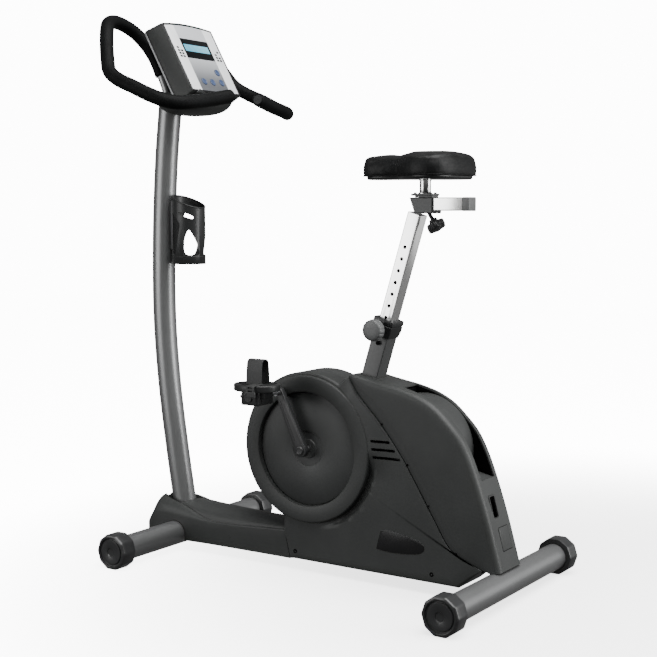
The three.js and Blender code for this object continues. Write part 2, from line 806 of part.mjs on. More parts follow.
// ---------- seat ----------
function seat() {
  const holes = Array.from({ length: 11 }, (_, i) => {
    const hole = new THREE.CylinderGeometry(holeRadius, holeRadius, 12, 10);
    return hole.translate(0, -postWidth / 2, (6 - i) * holePitch);
  });
  const section = shapeOf(rectPoints(postWidth, postWidth), [
    rectPoints(postWidth - 2 * postWall, postWidth - 2 * postWall),
  ]);
  const tube = extrude(section, postTop - postBottom).translate(0, 0, postBottom);
  piece("seat_post", cut(tube, ...holes), brightMetal, seatGroup);

  const collarTop = -4;
  const collar = loft(
    [
      [26.5, 26, -50],
      [31, 30.5, -32],
      [31, 30.5, collarTop],
    ].map(([x, y, s]) => rectPoints(2 * x, 2 * y).map(([px, py]) => [px, py, s])),
  );
  const sleeveBore = block(sleeveWidth + 2 * gap, sleeveWidth + 2 * gap, 80, 0, 0, sleeveTop - 40 + gap);
  const postBore = block(postWidth + 2, postWidth + 2, 80, 0, 0, 0);
  const pinBore = new THREE.CylinderGeometry(7.5, 7.5, 30, 16).translate(0, -32, pinHeight);
  const collarBody = cut(collar, sleeveBore, postBore, pinBore);
  piece("sleeve_collar", collarBody, blackPlastic, seatGroup);

  const knobOutline = circlePoints(1, 36).map(([x, y], i) => {
    const radius = 29.5 - (i % 3 === 0 ? 1.8 : 0);
    return [x * radius, y * radius];
  });
  const grip = sideProfile(shapeOf(knobOutline), -82, -54);
  const stem = new THREE.CylinderGeometry(6.5, 6.5, 31.5, 16).translate(0, -39.5, 0);
  const tip = new THREE.CylinderGeometry(4, 4, 5, 12).translate(0, -23.1, 0);
  const knob = piece("post_pull_knob", join(grip, stem, tip), blackPlastic, seatGroup);
  knob.position.z = pinHeight;

  // Open channel welded on the post; its front edge follows the post's slope.
  const channelBottom = 993;
  const channel = sideProfile(
    shapeOf([
      [264, channelBottom],
      [312, channelBottom],
      [312, sliderTop],
      [250, sliderTop],
    ]),
    -23.5,
    23.5,
  );
  const trough = block(200, 2 * 20, 100, 290, 0, channelBottom + 3 + 50);
  const clampAxis = new THREE.Group();
  clampAxis.position.set(307, 0, 964);
  clampAxis.rotation.y = -Math.atan2(17, 26);
  bike.add(clampAxis);
  clampAxis.updateMatrix();
  const boltBore = new THREE.CylinderGeometry(4.6, 4.6, 60, 14).rotateX(Math.PI / 2);
  boltBore.translate(0, 0, 30).applyMatrix4(clampAxis.matrix);
  piece("seat_bracket", cut(channel, trough, boltBore), greyPlastic);

  const lobes = circlePoints(1, 36).map(([x, y], i) => {
    const radius = 21 + 3.2 * Math.cos((i / 36) * 2 * Math.PI * 6);
    return [x * radius, y * radius];
  });
  const star = extrude(shapeOf(lobes), 20).translate(0, 0, -20);
  const bolt = new THREE.CylinderGeometry(4.2, 4.2, 38, 14).rotateX(Math.PI / 2).translate(0, 0, 15);
  const neck = new THREE.CylinderGeometry(8, 12, 8, 16).rotateX(Math.PI / 2).translate(0, 0, 3);
  piece("saddle_star_knob", join(star, bolt, neck), blackPlastic, clampAxis);

  const [sliderFront, sliderRear] = [258, 396];
  const sliderZ = (sliderTop + sliderBottom) / 2;
  const sliderHigh = sliderTop - sliderBottom;
  const sliderSection = shapeOf(rectPoints(39, sliderHigh, 0, sliderZ), [
    rectPoints(35, sliderHigh - 4, 0, sliderZ),
  ]);
  piece("seat_slider", crossProfile(sliderSection, sliderFront, sliderRear), brightMetal);
  const plug = join(
    block(20, 40, sliderHigh + 1, sliderRear + gap + 10, 0, sliderZ),
    block(16, 34, sliderHigh - 5, sliderRear - 7, 0, sliderZ),
  );
  piece("slider_end_cap", plug, greyPlastic);

  const plate = extrude(shapeOf(rectPoints(60, 44)), 10).translate(0, 0, sliderTop + gap);
  const columnTop = saddleBottom - 9;
  const column = extrude(shapeOf(circlePoints(15, 24)), columnTop - sliderTop - 5);
  column.translate(0, 0, sliderTop + 5);
  piece("saddle_column", join(plate, column), brightMetal).position.x = columnX;
}

// Plan of the saddle: a narrow nose that flares into a broad rear.
const saddleHalf = [
  [97, 0],
  [104, 26],
  [128, 42],
  [176, 48],
  [222, 66],
  [262, 100],
  [310, 120],
  [362, 112],
  [388, 70],
  [394, 0],
];
const saddlePlan = smoothPoints(
  [...saddleHalf.map(([x, y]) => [x, -y]), ...saddleHalf.slice(1, -1).reverse()],
  36,
  true,
);

function scaledPlan(points, scale) {
  const middle = 255;
  return points.map(([x, y]) => [middle + (x - middle) * scale, y * scale]);
}

function saddle() {
  const base = extrude(shapeOf(scaledPlan(saddlePlan, 0.9)), 8).translate(0, 0, saddleBottom - 8.6);
  piece("saddle_base", base, blackPlastic);
  const steps = [
    [0.965, saddleBottom],
    [1, saddleBottom + 8],
    [1, saddleTop - 26],
    [0.97, saddleTop - 12],
    [0.9, saddleTop - 3],
    [0.78, saddleTop],
  ];
  const pad = loft(
    steps.map(([scale, z]) => scaledPlan(saddlePlan, scale).map(([x, y]) => [x, y, z])),
  );
  piece("saddle_pad", pad, vinyl);
}

// ---------- handlebars ----------
function barCurve(sign) {
  const points = [
    [-584, 15.2, 1290],
    [-580, 15.3, 1332],
    [-598, 20, 1390],
    [-623, 28, 1449],
    [-645, 50, 1492],
    [-659, 85, 1520],
    [-660, 145, 1534],
    [-646, 190, 1524],
    [-627, 218, 1500],
    [-608, 240, 1460],
    [-585, 262, 1415],
    [-560, 281, 1378],
    [-516, 292, 1352],
    [-466, 294, 1332],
    [-412, 288, 1308],
    [-372, 279, 1293],
    [-346, 257, 1286],
    [-330, 228, 1287],
    [-321, 150, 1298],
    [-310, 62, 1314],
  ];
  return new THREE.CatmullRomCurve3(
    points.map(([x, y, z]) => new THREE.Vector3(x, sign * y, z)),
    false,
    "centripetal",
  );
}

// The part of a curve between two fractions of its length.
function stretch(curve, from, to) {
  const part = new THREE.Curve();
  part.getPoint = (t, target = new THREE.Vector3()) => curve.getPointAt(from + (to - from) * t, target);
  return part;
}

function handlebars() {
  const barSides = 10;
  for (const { side, sign } of sides) {
    const curve = barCurve(sign);
    const ring = shapeOf(circlePoints(barRadius, barSides), [
      circlePoints(barRadius - barWall, barSides / 2),
    ]);
    const steps = 30; // along the bar; the grip shares all but the first of them
    const bare = 3;
    piece(`${side}_handlebar_tube`, along(stretch(curve, 0, 1), ring, steps), brightMetal);
    const sleeve = shapeOf(circlePoints(gripRadius, barSides), [
      circlePoints(barRadius + 1.2, barSides),
    ]);
    const grip = along(stretch(curve, bare / steps, 1), sleeve, steps - bare);
    piece(`${side}_foam_grip`, grip, foam);
  }
}

// ---------- console ----------
// In the console's own group +Z runs up the panel and +X points out of it.
function consolePieces() {
  const shellFront = -2;
  const shellMiddle = shellFront - consoleDepth / 2;
  const body = block(consoleDepth, consoleWidth, consoleHeight, shellMiddle, 0, consoleHeight / 2);
  const toLocal = consoleGroup.matrix.clone().invert();
  const bowl = new THREE.SphereGeometry(1, 18, 10).scale(98, 94, 44);
  bowl.translate(-500, 0, 1308).applyMatrix4(toLocal);
  const wall = 3;
  const hollow = block(
    consoleDepth,
    consoleWidth - 2 * wall,
    consoleHeight - 2 * wall,
    shellFront - consoleDepth / 2 + wall,
    0,
    consoleHeight / 2,
  );
  const mast = along(mastCurve, shapeOf(circlePoints(mastRadius + 2, 16)), 14).applyMatrix4(toLocal);
  const bars = sides.map(({ sign }) => {
    const bore = shapeOf(circlePoints(gripRadius + 1.5, 10));
    return along(stretch(barCurve(sign), 0, 0.2), bore, 12).applyMatrix4(toLocal);
  });
  const front = block(80, 300, 400, shellFront + 40, 0, 100);
  const shell = cut(join(body, bowl), hollow, front, mast, ...bars);
  piece("console_rear_shell", shell, housingPlastic, consoleGroup);

  const panelMiddle = consoleHeight / 2;
  const panel = block(4, consoleWidth, consoleHeight, shellFront + gap + 2, 0, panelMiddle);
  const screenCut = block(12, screen.width + 1, screen.height + 1, 0, 0, screen.z);
  const buttonCuts = buttonPlaces.map(([y, z]) =>
    new THREE.CylinderGeometry(buttonRadius + 0.8, buttonRadius + 0.8, 20, 14)
      .rotateZ(Math.PI / 2)
      .translate(0, y, z),
  );
  piece("console_front_panel", cut(panel, screenCut, ...buttonCuts), panelSilver, consoleGroup);
  const glass = block(2.5, screen.width, screen.height, 0.6, 0, screen.z);
  piece("display_window", glass, displayGlass, consoleGroup);
  buttonPlaces.forEach(([y, z], i) => {
    const cap = new THREE.CylinderGeometry(buttonRadius, buttonRadius, 6, 14).rotateZ(Math.PI / 2);
    piece(`console_button_${i + 1}`, cap, buttonBlue, consoleGroup).position.set(1, y, z);
  });
}

// ---------- bottle cage ----------
// A prism that cuts a window through the cage's wall, facing out at an angle.
function cageWindow(outline, degrees) {
  const tool = crossProfile(shapeOf(outline), 20, 80);
  return tool.rotateZ(THREE.MathUtils.degToRad(degrees));
}

function bottleCage() {
  const height = 212;
  const wall = toSolid(hollowTurned(cageRadius, cageRadius - cageWall, 0, height, 28).rotateX(Math.PI / 2));
  const floor = toSolid(
    new THREE.CylinderGeometry(cageRadius - 1, cageRadius - 1, 3, 28)
      .rotateX(Math.PI / 2)
      .translate(0, 0, 1.5),
  );
  const slant = toSolid(
    sideProfile(
      shapeOf([
        [-90, 219],
        [70, 155],
        [70, 300],
        [-90, 300],
      ]),
      -80,
      80,
    ),
  );
  const arch = [
    [-24, 26],
    [22, 26],
    [20, 70],
    [6, 100],
    [-12, 66],
  ];
  const flank = [
    [-26, 26],
    [4, 26],
    [18, 96],
    [20, 124],
    [-26, 150],
  ];
  const crescent = [
    [-24, 150],
    [-10, 136],
    [22, 132],
    [22, 138],
    [-4, 152],
  ];
  let cage = wall.add(floor).subtract(slant);
  for (const mirror of [1, -1]) {
    const turnOutline = (points) => points.map(([y, z]) => [mirror * y, z]);
    const order = (points) => (mirror > 0 ? points : [...points].reverse());
    for (const [outline, degrees] of [
      [arch, 42],
      [flank.map(([y, z]) => [-y, z]).reverse(), 112],
      [crescent.map(([y, z]) => [-y, z]).reverse(), 62],
    ]) {
      const tool = cageWindow(order(turnOutline(outline)), mirror * degrees);
      cage = cage.subtract(toSolid(tool));
    }
  }
  piece("bottle_cage", toGeometry(cage), blackPlastic).position.set(cageX, 0, cageBottom);
}

stabilisers();
frame();
flywheelBracket();
drive();
cranks();
sideCovers();
spineCover();
baseCover();
seat();
saddle();
handlebars();
consolePieces();
bottleCage();

export default bike;
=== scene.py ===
"""Upright exercise bike: fine surfaces and finishes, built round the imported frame."""

import math

import bmesh
import bpy
import numpy as np
from mathutils import Matrix


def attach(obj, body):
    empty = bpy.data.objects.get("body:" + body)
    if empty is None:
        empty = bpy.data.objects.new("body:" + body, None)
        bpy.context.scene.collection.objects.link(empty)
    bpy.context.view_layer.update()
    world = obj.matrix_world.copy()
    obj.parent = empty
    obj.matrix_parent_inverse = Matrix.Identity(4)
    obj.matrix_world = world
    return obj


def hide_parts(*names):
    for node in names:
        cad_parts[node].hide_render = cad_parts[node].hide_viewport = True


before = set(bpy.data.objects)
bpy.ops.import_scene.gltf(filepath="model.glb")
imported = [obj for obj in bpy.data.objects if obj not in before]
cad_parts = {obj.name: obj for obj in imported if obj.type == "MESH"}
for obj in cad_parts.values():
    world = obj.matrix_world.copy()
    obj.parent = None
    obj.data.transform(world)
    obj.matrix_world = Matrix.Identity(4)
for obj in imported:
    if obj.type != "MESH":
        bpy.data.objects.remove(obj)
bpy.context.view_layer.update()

# ---------- measures, in millimetres of the layout between the stabilisers ----------
SHIFT = 54.26  # the layout's middle lies this far along +X in the frame
GAP = 0.3
STABILISER_X, STABILISER_Z, STABILISER_R = 521, 49, 35
HALF_WIDTH = 349
CAP_SIDES, CAP_LENGTH = 10, 50
CAP_R = STABILISER_Z / math.cos(math.pi / CAP_SIDES)
MAST_R = 34
COVER_Y, WALL = 65, 3.5
CRANK = np.array([-52.0, 346.0])
DRUM_R, RING_R, RING_INNER, RING_FACE = 212, 203.5, 158, 75
DISH_Y, DISC_R = 57, 155.5
ARM_Y, ARM_THICK, CRANK_LENGTH = 82, 16, 170
LEAN = math.radians(25)
WHEEL = np.array([265.0, 372.0])
GUARD_R = 143
SEAT_AXIS, SEAT_TILT = (172, 0, 715), math.radians(17)
HOLE_PITCH = 32.6
SLIDER_TOP, SLIDER_BOTTOM = 1031, 996.5
SADDLE_BOTTOM, SADDLE_TOP = 1086, 1146
COLUMN_X = 278
PEDAL_Y, PEDAL_RISE = 195, 36
CONSOLE_FOOT, CONSOLE_TILT = (-404, 0, 1322), math.radians(29.5)
GRIP_R, BAR_R = 19.5, 14
CAGE_X, CAGE_R, CAGE_Z, CAGE_H = -517, 48, 840, 212
FULL = 2 * math.pi


# ---------- shapes: a shape is (points, faces), in millimetres ----------
def unit(v):
    """Vectors scaled to length one."""
    return v / np.linalg.norm(v, axis=-1, keepdims=True)


def outward(points, faces):
    """The shape with its faces turned round if its signed volume is below nought."""
    points, total = np.asarray(points, float), 0.0
    for size in {len(f) for f in faces}:
        f = np.array([x for x in faces if len(x) == size])
        for k in range(1, size - 1):
            fan = np.cross(points[f[:, k]], points[f[:, k + 1]])
            total += float((points[f[:, 0]] * fan).sum())
    return points, faces if total > 0 else [list(f)[::-1] for f in faces]


def skin(rings, ends="flat"):
    """Quads between rings of points, rings[i][j] to rings[i+1][j]; the ends are flat faces,
    open poles that merge in a point, or joined to each other."""
    rings = np.asarray(rings, float)
    n, m, _ = rings.shape
    at = np.arange(n * m).reshape(n, m)
    beside, above = np.roll(at, -1, 1), np.roll(at, -1, 0)
    quads = np.stack([at, beside, np.roll(beside, -1, 0), above], -1)
    faces = quads[: n if ends == "joined" else n - 1].reshape(-1, 4).tolist()
    if ends == "flat":
        faces += [at[0][::-1].tolist(), at[-1].tolist()]
    return outward(rings.reshape(-1, 3), faces)


def joined(*shapes):
    """Several closed shapes as one."""
    points, faces, start = [], [], 0
    for p, f in shapes:
        points.append(p)
        faces += [[i + start for i in face] for face in f]
        start += len(p)
    return np.vstack(points), faces


def moved(shape, origin=(0, 0, 0), ex=(1, 0, 0), ey=(0, 1, 0), ez=(0, 0, 1)):
    """The shape carried to an origin and three axes."""
    points, faces = shape
    return outward(np.asarray(origin) + points @ np.array([ex, ey, ez], float), faces)


def mirrored(shape):
    """The shape's other hand, across the middle plane."""
    points, faces = shape
    return points * (1, -1, 1), [list(f)[::-1] for f in faces]


def handed(shape, sign):
    """A shape drawn for the left side, for either side."""
    return shape if sign < 0 else mirrored(shape)


def tidy(outline):
    """A closed outline without doubled points."""
    outline = np.asarray(outline, float)
    return outline[np.linalg.norm(outline - np.roll(outline, 1, 0), axis=1) > 1e-4]


def fillet(corners, radius, steps=5, closed=True):
    """Each corner replaced by a parabola that starts and ends `radius` from it."""
    p = np.asarray(corners, float)
    back, ahead = np.roll(p, 1, 0) - p, np.roll(p, -1, 0) - p
    lb, la = (np.linalg.norm(v, axis=1)[:, None] for v in (back, ahead))
    reach = np.minimum(np.broadcast_to(radius, len(p))[:, None], 0.46 * np.minimum(lb, la))
    a, b = (p + v / length * reach for v, length in ((back, lb), (ahead, la)))
    s = np.linspace(0, 1, steps)[None, :, None]
    bend = (1 - s) ** 2 * a[:, None] + 2 * s * (1 - s) * p[:, None] + s**2 * b[:, None]
    if closed:
        return tidy(bend.reshape(-1, 2))
    return np.vstack([p[:1], bend[1:-1].reshape(-1, 2), p[-1:]])


def inset(outline, distance):
    """A closed outline moved inwards by a distance along its corner normals."""
    p = np.asarray(outline, float)
    edge = unit(np.roll(p, -1, 0) - p)
    area = (p[:, 0] * np.roll(p[:, 1], -1) - np.roll(p[:, 0], -1) * p[:, 1]).sum()
    normal = np.stack([-edge[:, 1], edge[:, 0]], 1) * np.sign(area)
    before = np.roll(normal, 1, 0)
    dot = np.maximum((normal * before).sum(1, keepdims=True), -0.6)
    return p + (normal + before) / (1 + dot) * np.broadcast_to(distance, len(p))[:, None]


def curve_through(points, per_span=14, closed=False):
    """Centripetal Catmull-Rom curve through the points."""
    p = np.asarray(points, float)
    ends = (p[-1:], p[:2]) if closed else (2 * p[:1] - p[1:2], 2 * p[-1:] - p[-2:-1])
    q = np.vstack([ends[0], p, ends[1]])
    a, b, c, d = q[:-3], q[1:-2], q[2:-1], q[3:]
    k0, k1, k2 = (np.linalg.norm(v, axis=1)[:, None] ** 0.5 for v in (b - a, c - b, d - c))
    m1 = ((b - a) / k0 - (c - a) / (k0 + k1) + (c - b) / k1) * k1
    m2 = ((c - b) / k1 - (d - b) / (k1 + k2) + (d - c) / k2) * k1
    t = (np.arange(per_span) / per_span)[None, :, None]
    b, c, m1, m2 = (v[:, None] for v in (b, c, m1, m2))
    out = b + m1 * t + (3 * (c - b) - 2 * m1 - m2) * t**2 + (2 * (b - c) + m1 + m2) * t**3
    out = out.reshape(-1, p.shape[1])
    return out if closed else np.vstack([out, p[-1:]])


def travelled(points):
    """Length along a line of points, at each of them."""
    steps = np.linalg.norm(np.diff(points, axis=0), axis=1)
    return np.concatenate([[0], np.cumsum(steps)])


def along(points, where):
    """Points of a line at the given lengths along it."""
    run = travelled(points)
    return np.stack([np.interp(where, run, points[:, k]) for k in range(points.shape[1])], 1)


def even(points, count):
    """A line of points at equal steps."""
    points = np.asarray(points, float)
    return along(points, np.linspace(0, travelled(points)[-1], count))


def smooth_step(x):
    """0 below nought, 1 above one, and a smooth rise between."""
    x = np.clip(x, 0, 1)
    return x * x * (3 - 2 * x)


def slab(outline, low, high, edges=(0, 0), plane="xz", steps=4):
    """Outline carried from low to high across its plane. At angle a of a rounded rim of
    radius r the outline is inset by r(1 - sin a), r(1 - cos a) from the end."""
    angle = np.linspace(0, math.pi / 2, steps)
    rings = []
    for end, way, r, turns in ((low, 1, edges[0], angle), (high, -1, edges[1], angle[::-1])):
        r = np.broadcast_to(r, len(outline)).astype(float)
        for a in turns if r.max() > 0 else turns[:1]:
            rim = inset(outline, r * (1 - math.sin(a)))
            rings.append(np.column_stack([rim, end + way * r * (1 - math.cos(a))]))
    rings = np.array(rings)
    order = {"xz": (0, 2, 1), "xy": (0, 1, 2), "yz": (2, 0, 1)}[plane]
    return skin(rings[:, :, order])


def box_outline(width, height, radius, x=0.0, y=0.0, steps=5):
    """Rounded rectangle about (x, y)."""
    w, h = width / 2, height / 2
    return fillet([(x - w, y - h), (x + w, y - h), (x + w, y + h), (x - w, y + h)], radius, steps)


def circle(radius, sides, x=0.0, y=0.0):
    """Points of a circle, or of a star where radius is an array of that many."""
    a = np.arange(sides) * FULL / sides
    return np.column_stack([x + radius * np.cos(a), y + radius * np.sin(a)])


def turned(profile, sides=64, ends="poles", wave=None):
    """Solid of revolution about local Z from (radius, height) pairs; wave, where given,
    scales the radius by 1 + share * wave(angle), share being the pairs' third number."""
    profile = np.array([tuple(p) + (0.0,) * (3 - len(p)) for p in profile], float)
    a = np.arange(sides) * FULL / sides
    swell = 1 + profile[:, 2:3] * (wave(a) if wave else 0 * a)
    r = profile[:, :1] * swell
    z = np.broadcast_to(profile[:, 1:2], r.shape)
    return skin(np.stack([r * np.cos(a), r * np.sin(a), z], -1), ends)


def turned_y(profile, x, z, sides=64, ends="poles", wave=None):
    """A turned solid whose axis lies along +Y through (x, z); heights are values of y."""
    shape = turned(profile, sides, ends, wave)
    return moved(shape, (x, 0, z), (1, 0, 0), (0, 0, 1), (0, 1, 0))


def frames_along(path):
    """Tangents of a path and two normals carried along it without twist."""
    tangent = unit(np.gradient(path, axis=0))
    start = np.cross(tangent[0], (0, 1, 0) if abs(tangent[0][1]) < 0.8 else (1, 0, 0))
    normals = [unit(start)]
    for t in tangent[1:]:
        n = normals[-1] - t * (normals[-1] @ t)
        normals.append(unit(n))
    normals = np.array(normals)
    return tangent, normals, np.cross(tangent, normals)


def tube(path, radius, sides=28, ends=(3, 3), pitch=9, bore=0):
    """Round tube along a path: its radius is drawn in by r(1 - cos a) over the last
    r(1 - sin a) of each end. A bore leaves it hollow."""
    run = travelled(path)[-1]
    a = np.linspace(0, math.pi / 2, 5)
    first, last = ends[0] * (1 - np.sin(a)), ends[1] * (1 - np.sin(a))
    middle = np.linspace(ends[0], run - ends[1], max(int(run / pitch), 3))[1:-1]
    where = np.concatenate([first[::-1], middle, run - last])
    shrink = np.concatenate(
        [ends[0] * (1 - np.cos(a))[::-1], 0 * middle, ends[1] * (1 - np.cos(a))]
    )
    dense = along(path, np.clip(where, 0, run))
    nearest = np.rint(where / run * 399).astype(int)
    _, normal, side = (v[nearest] for v in frames_along(even(path, 400)))
    turn = np.arange(sides) * FULL / sides
    spoke = np.cos(turn)[None, :, None] * normal[:, None] + np.sin(turn)[None, :, None] * side[:, None]
    rings = dense[:, None] + spoke * (radius - shrink)[:, None, None]
    if not bore:
        return skin(rings)
    inner = dense[:, None] + spoke * bore
    return skin(np.concatenate([rings, inner[::-1]]), "joined")


# ---------- solids cut with solids ----------
def cleaned(mesh, distance):
    """Merges doubled points, so that seams and poles are closed."""
    work = bmesh.new()
    work.from_mesh(mesh)
    bmesh.ops.remove_doubles(work, verts=work.verts, dist=distance)
    bmesh.ops.dissolve_degenerate(work, dist=distance / 4, edges=work.edges)
    work.to_mesh(mesh)
    work.free()


def working_solid(shape):
    """A shape as an object in the scene, to cut with."""
    mesh = bpy.data.meshes.new("working")
    mesh.from_pydata(np.asarray(shape[0]).tolist(), [], shape[1])
    cleaned(mesh, 1e-3)
    obj = bpy.data.objects.new("working", mesh)
    bpy.context.scene.collection.objects.link(obj)
    return obj


def carve(shape, *tools, operation="DIFFERENCE"):
    """The shape with the tools cut away, or joined to it."""
    body, cutters = working_solid(shape), [working_solid(t) for t in tools]
    for cutter in cutters:
        cut = body.modifiers.new("cut", "BOOLEAN")
        cut.operation, cut.solver, cut.object = operation, "EXACT", cutter
    depsgraph = bpy.context.evaluated_depsgraph_get()
    mesh = bpy.data.meshes.new_from_object(body.evaluated_get(depsgraph))
    points = np.zeros(len(mesh.vertices) * 3)
    mesh.vertices.foreach_get("co", points)
    faces = [list(p.vertices) for p in mesh.polygons]
    bpy.data.meshes.remove(mesh)
    for obj in [body, *cutters]:
        bpy.data.meshes.remove(obj.data)
    return points.reshape(-1, 3), faces


def piece(name, shape, finish, body, replaces=(), sharp=32, bevel=0.0):
    """A finished piece: the shape in metres of the frame, its finish, and what it rides on."""
    points, faces = shape
    mesh = bpy.data.meshes.new(name)
    mesh.from_pydata(((np.asarray(points) + (SHIFT, 0, 0)) * 0.001).tolist(), [], faces)
    cleaned(mesh, 2e-6)
    mesh.materials.append(finish)
    mesh.shade_smooth()
    mesh.set_sharp_from_angle(angle=math.radians(sharp))
    obj = bpy.data.objects.new(name, mesh)
    bpy.context.scene.collection.objects.link(obj)
    if bevel:
        edge = obj.modifiers.new("edges", "BEVEL")
        edge.width, edge.segments, edge.limit_method = bevel * 0.001, 2, "ANGLE"
        edge.angle_limit, edge.harden_normals = math.radians(40), True
    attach(obj, body)
    if replaces:
        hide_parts(*replaces)
    return obj


# ---------- finishes ----------
class Wire:
    """A shader socket that takes part in sums of values."""

    def __init__(self, finish, socket):
        self.finish, self.socket = finish, socket

    def maths(self, operation, *values):
        return self.finish.add("ShaderNodeMath", {"operation": operation}, dict(enumerate(values)))

    def __add__(self, other):
        return self.maths("ADD", self, other)

    def __mul__(self, other):
        return self.maths("MULTIPLY", self, other)

    def __sub__(self, other):
        return self.maths("SUBTRACT", self, other)

    def __rsub__(self, other):
        return self.maths("SUBTRACT", other, self)

    __radd__, __rmul__ = __add__, __mul__

    def ramp(self, low, high):
        """0 up to low, 1 from high, and a smooth rise between."""
        settings = {"interpolation_type": "SMOOTHSTEP"}
        return self.finish.add("ShaderNodeMapRange", settings, {0: self, 1: low, 2: high})


class Finish:
    """A material round one Principled shader; constants sit on the shader's own sockets."""

    def __init__(self, name, **constants):
        self.material = bpy.data.materials.new(name)
        self.material.use_nodes = True
        self.tree = self.material.node_tree
        self.tree.nodes.clear()
        self.shader = self.tree.nodes.new("ShaderNodeBsdfPrincipled")
        surface = self.tree.nodes.new("ShaderNodeOutputMaterial")
        self.tree.links.new(self.shader.outputs[0], surface.inputs["Surface"])
        for key, value in constants.items():
            self.shader.inputs[key.replace("_", " ")].default_value = value
        self.place = self.add("ShaderNodeTexCoord", output="Object")

    def add(self, kind, settings=None, inputs=None, output=0):
        """Any node: its type, its settings, then its sockets' values or wires."""
        node = self.tree.nodes.new(kind)
        for key, value in (settings or {}).items():
            setattr(node, key, value)
        for key, value in (inputs or {}).items():
            if isinstance(value, Wire):
                self.tree.links.new(value.socket, node.inputs[key])
            else:
                node.inputs[key].default_value = value
        return Wire(self, node.outputs[output])

    def feed(self, socket, wire):
        self.tree.links.new(wire.socket, self.shader.inputs[socket])

    def noise(self, scale, detail=2.0, roughness=0.5, stretch=None):
        """Noise from 0 to 1, scale in cycles per metre; stretch scales the axes first."""
        where = self.place
        if stretch:
            where = self.add("ShaderNodeMapping", None, {"Vector": where, "Scale": stretch})
        sockets = {"Vector": where, "Scale": scale, "Detail": detail, "Roughness": roughness}
        return self.add("ShaderNodeTexNoise", None, sockets)

    def cells(self, scale, feature="F1"):
        """Distance to the nearest of scattered points, scale in cells per metre."""
        sockets = {"Vector": self.place, "Scale": scale}
        return self.add("ShaderNodeTexVoronoi", {"feature": feature}, sockets)

    def mix(self, factor, first, second):
        """Colour mixed from the first to the second."""
        sockets = {0: factor, 6: first, 7: second}
        return self.add("ShaderNodeMix", {"data_type": "RGBA"}, sockets, output=2)

    def axis(self, letter):
        """One coordinate of the place, in metres of the frame."""
        return self.add("ShaderNodeSeparateXYZ", None, {0: self.place}, output=letter)

    def bump(self, height, strength, distance):
        sockets = {"Height": height, "Strength": strength, "Distance": distance}
        self.feed("Normal", self.add("ShaderNodeBump", None, sockets, output="Normal"))

    def worn(self, colour, rough, share=0.12, rough_share=0.12, scale=7.0):
        """Slow drift of the colour and the gloss over a surface, as dust and handling leave."""
        drift = self.noise(scale, 4.0, 0.6)
        dark = tuple(c * (1 - share) for c in colour) + (1.0,)
        light = tuple(min(1.0, c * (1 + share)) for c in colour) + (1.0,)
        self.feed("Base Color", self.mix(drift.ramp(0.3, 0.7), dark, light))
        fine = self.noise(scale * 22, 3.0, 0.6)
        self.feed("Roughness", (drift * 0.5 + fine * 0.5 - 0.5) * (2 * rough_share) + rough)
        return drift


def grained_plastic(name, colour, rough, grain=900.0, depth=0.00012, strength=0.35, share=0.1, gloss=0.4):
    """Moulded plastic with a fine spark-eroded grain."""
    f = Finish(name, Specular_IOR_Level=gloss)
    f.worn(colour, rough, share, 0.08)
    height = f.noise(grain, 2.0, 0.55) + f.cells(grain * 0.8) * 0.6
    f.bump(height, strength, depth)
    return f.material


def painted_metal():
    """Satin grey metallic paint: flakes, slight orange peel, a few finger marks."""
    f = Finish("satin_grey_paint", Metallic=0.72, Specular_IOR_Level=0.5)
    drift = f.worn((0.27, 0.275, 0.275), 0.36, 0.06, 0.06, 5.0)
    flakes = f.cells(2600.0, "F1")
    tone = f.mix(flakes.ramp(0.1, 0.6) * 0.5 + drift * 0.3, (0.125, 0.128, 0.13, 1),
                 (0.225, 0.228, 0.228, 1))
    f.feed("Base Color", tone)
    f.bump(f.noise(260.0, 2.0, 0.5), 0.12, 0.0002)
    return f.material


def bare_metal(name, colour, rough, stretch, strength=0.08):
    """Bright metal with fine drawn lines."""
    f = Finish(name, Metallic=1.0)
    drift = f.noise(9.0, 3.0)
    lines = f.noise(60.0, 3.0, 0.6, stretch)
    low, high = (tuple(c * k for c in colour) + (1.0,) for k in (0.93, 1.0))
    f.feed("Base Color", f.mix(lines.ramp(0.35, 0.65), low, high))
    f.feed("Roughness", (lines * 0.6 + drift * 0.4 - 0.5) * 0.12 + rough)
    f.bump(lines, strength, 0.0001)
    return f.material


def foam_rubber():
    """Closed-cell grip foam: matte black with fine open pores."""
    f = Finish("grip_foam", Specular_IOR_Level=0.05)
    f.worn((0.0036, 0.0038, 0.0039), 0.5, 0.25, 0.06, 12.0)
    pores = f.cells(1500.0).ramp(0.05, 0.55)
    f.bump(pores + f.noise(420.0, 3.0) * 0.6, 0.5, 0.00035)
    return f.material


def saddle_vinyl():
    """Black vinyl with a soft leather-like grain and rubbed high places."""
    f = Finish("saddle_vinyl", Specular_IOR_Level=0.13, Coat_Roughness=0.4)
    rub = f.worn((0.0045, 0.0047, 0.0048), 0.42, 0.2, 0.07, 9.0)
    creases = f.cells(520.0, "DISTANCE_TO_EDGE").ramp(0.0, 0.18)
    f.bump(creases * 0.8 + f.noise(1100.0, 3.0) * 0.35, 0.32, 0.00035)
    f.feed("Coat Weight", rub.ramp(0.45, 0.75) * 0.12)
    return f.material


def cast_finish():
    """Dark machined casting."""
    f = Finish("flywheel_casting", Metallic=0.85)
    f.worn((0.09, 0.09, 0.095), 0.45, 0.2, 0.1, 20.0)
    f.bump(f.noise(300.0, 4.0, 0.6), 0.3, 0.0004)
    return f.material


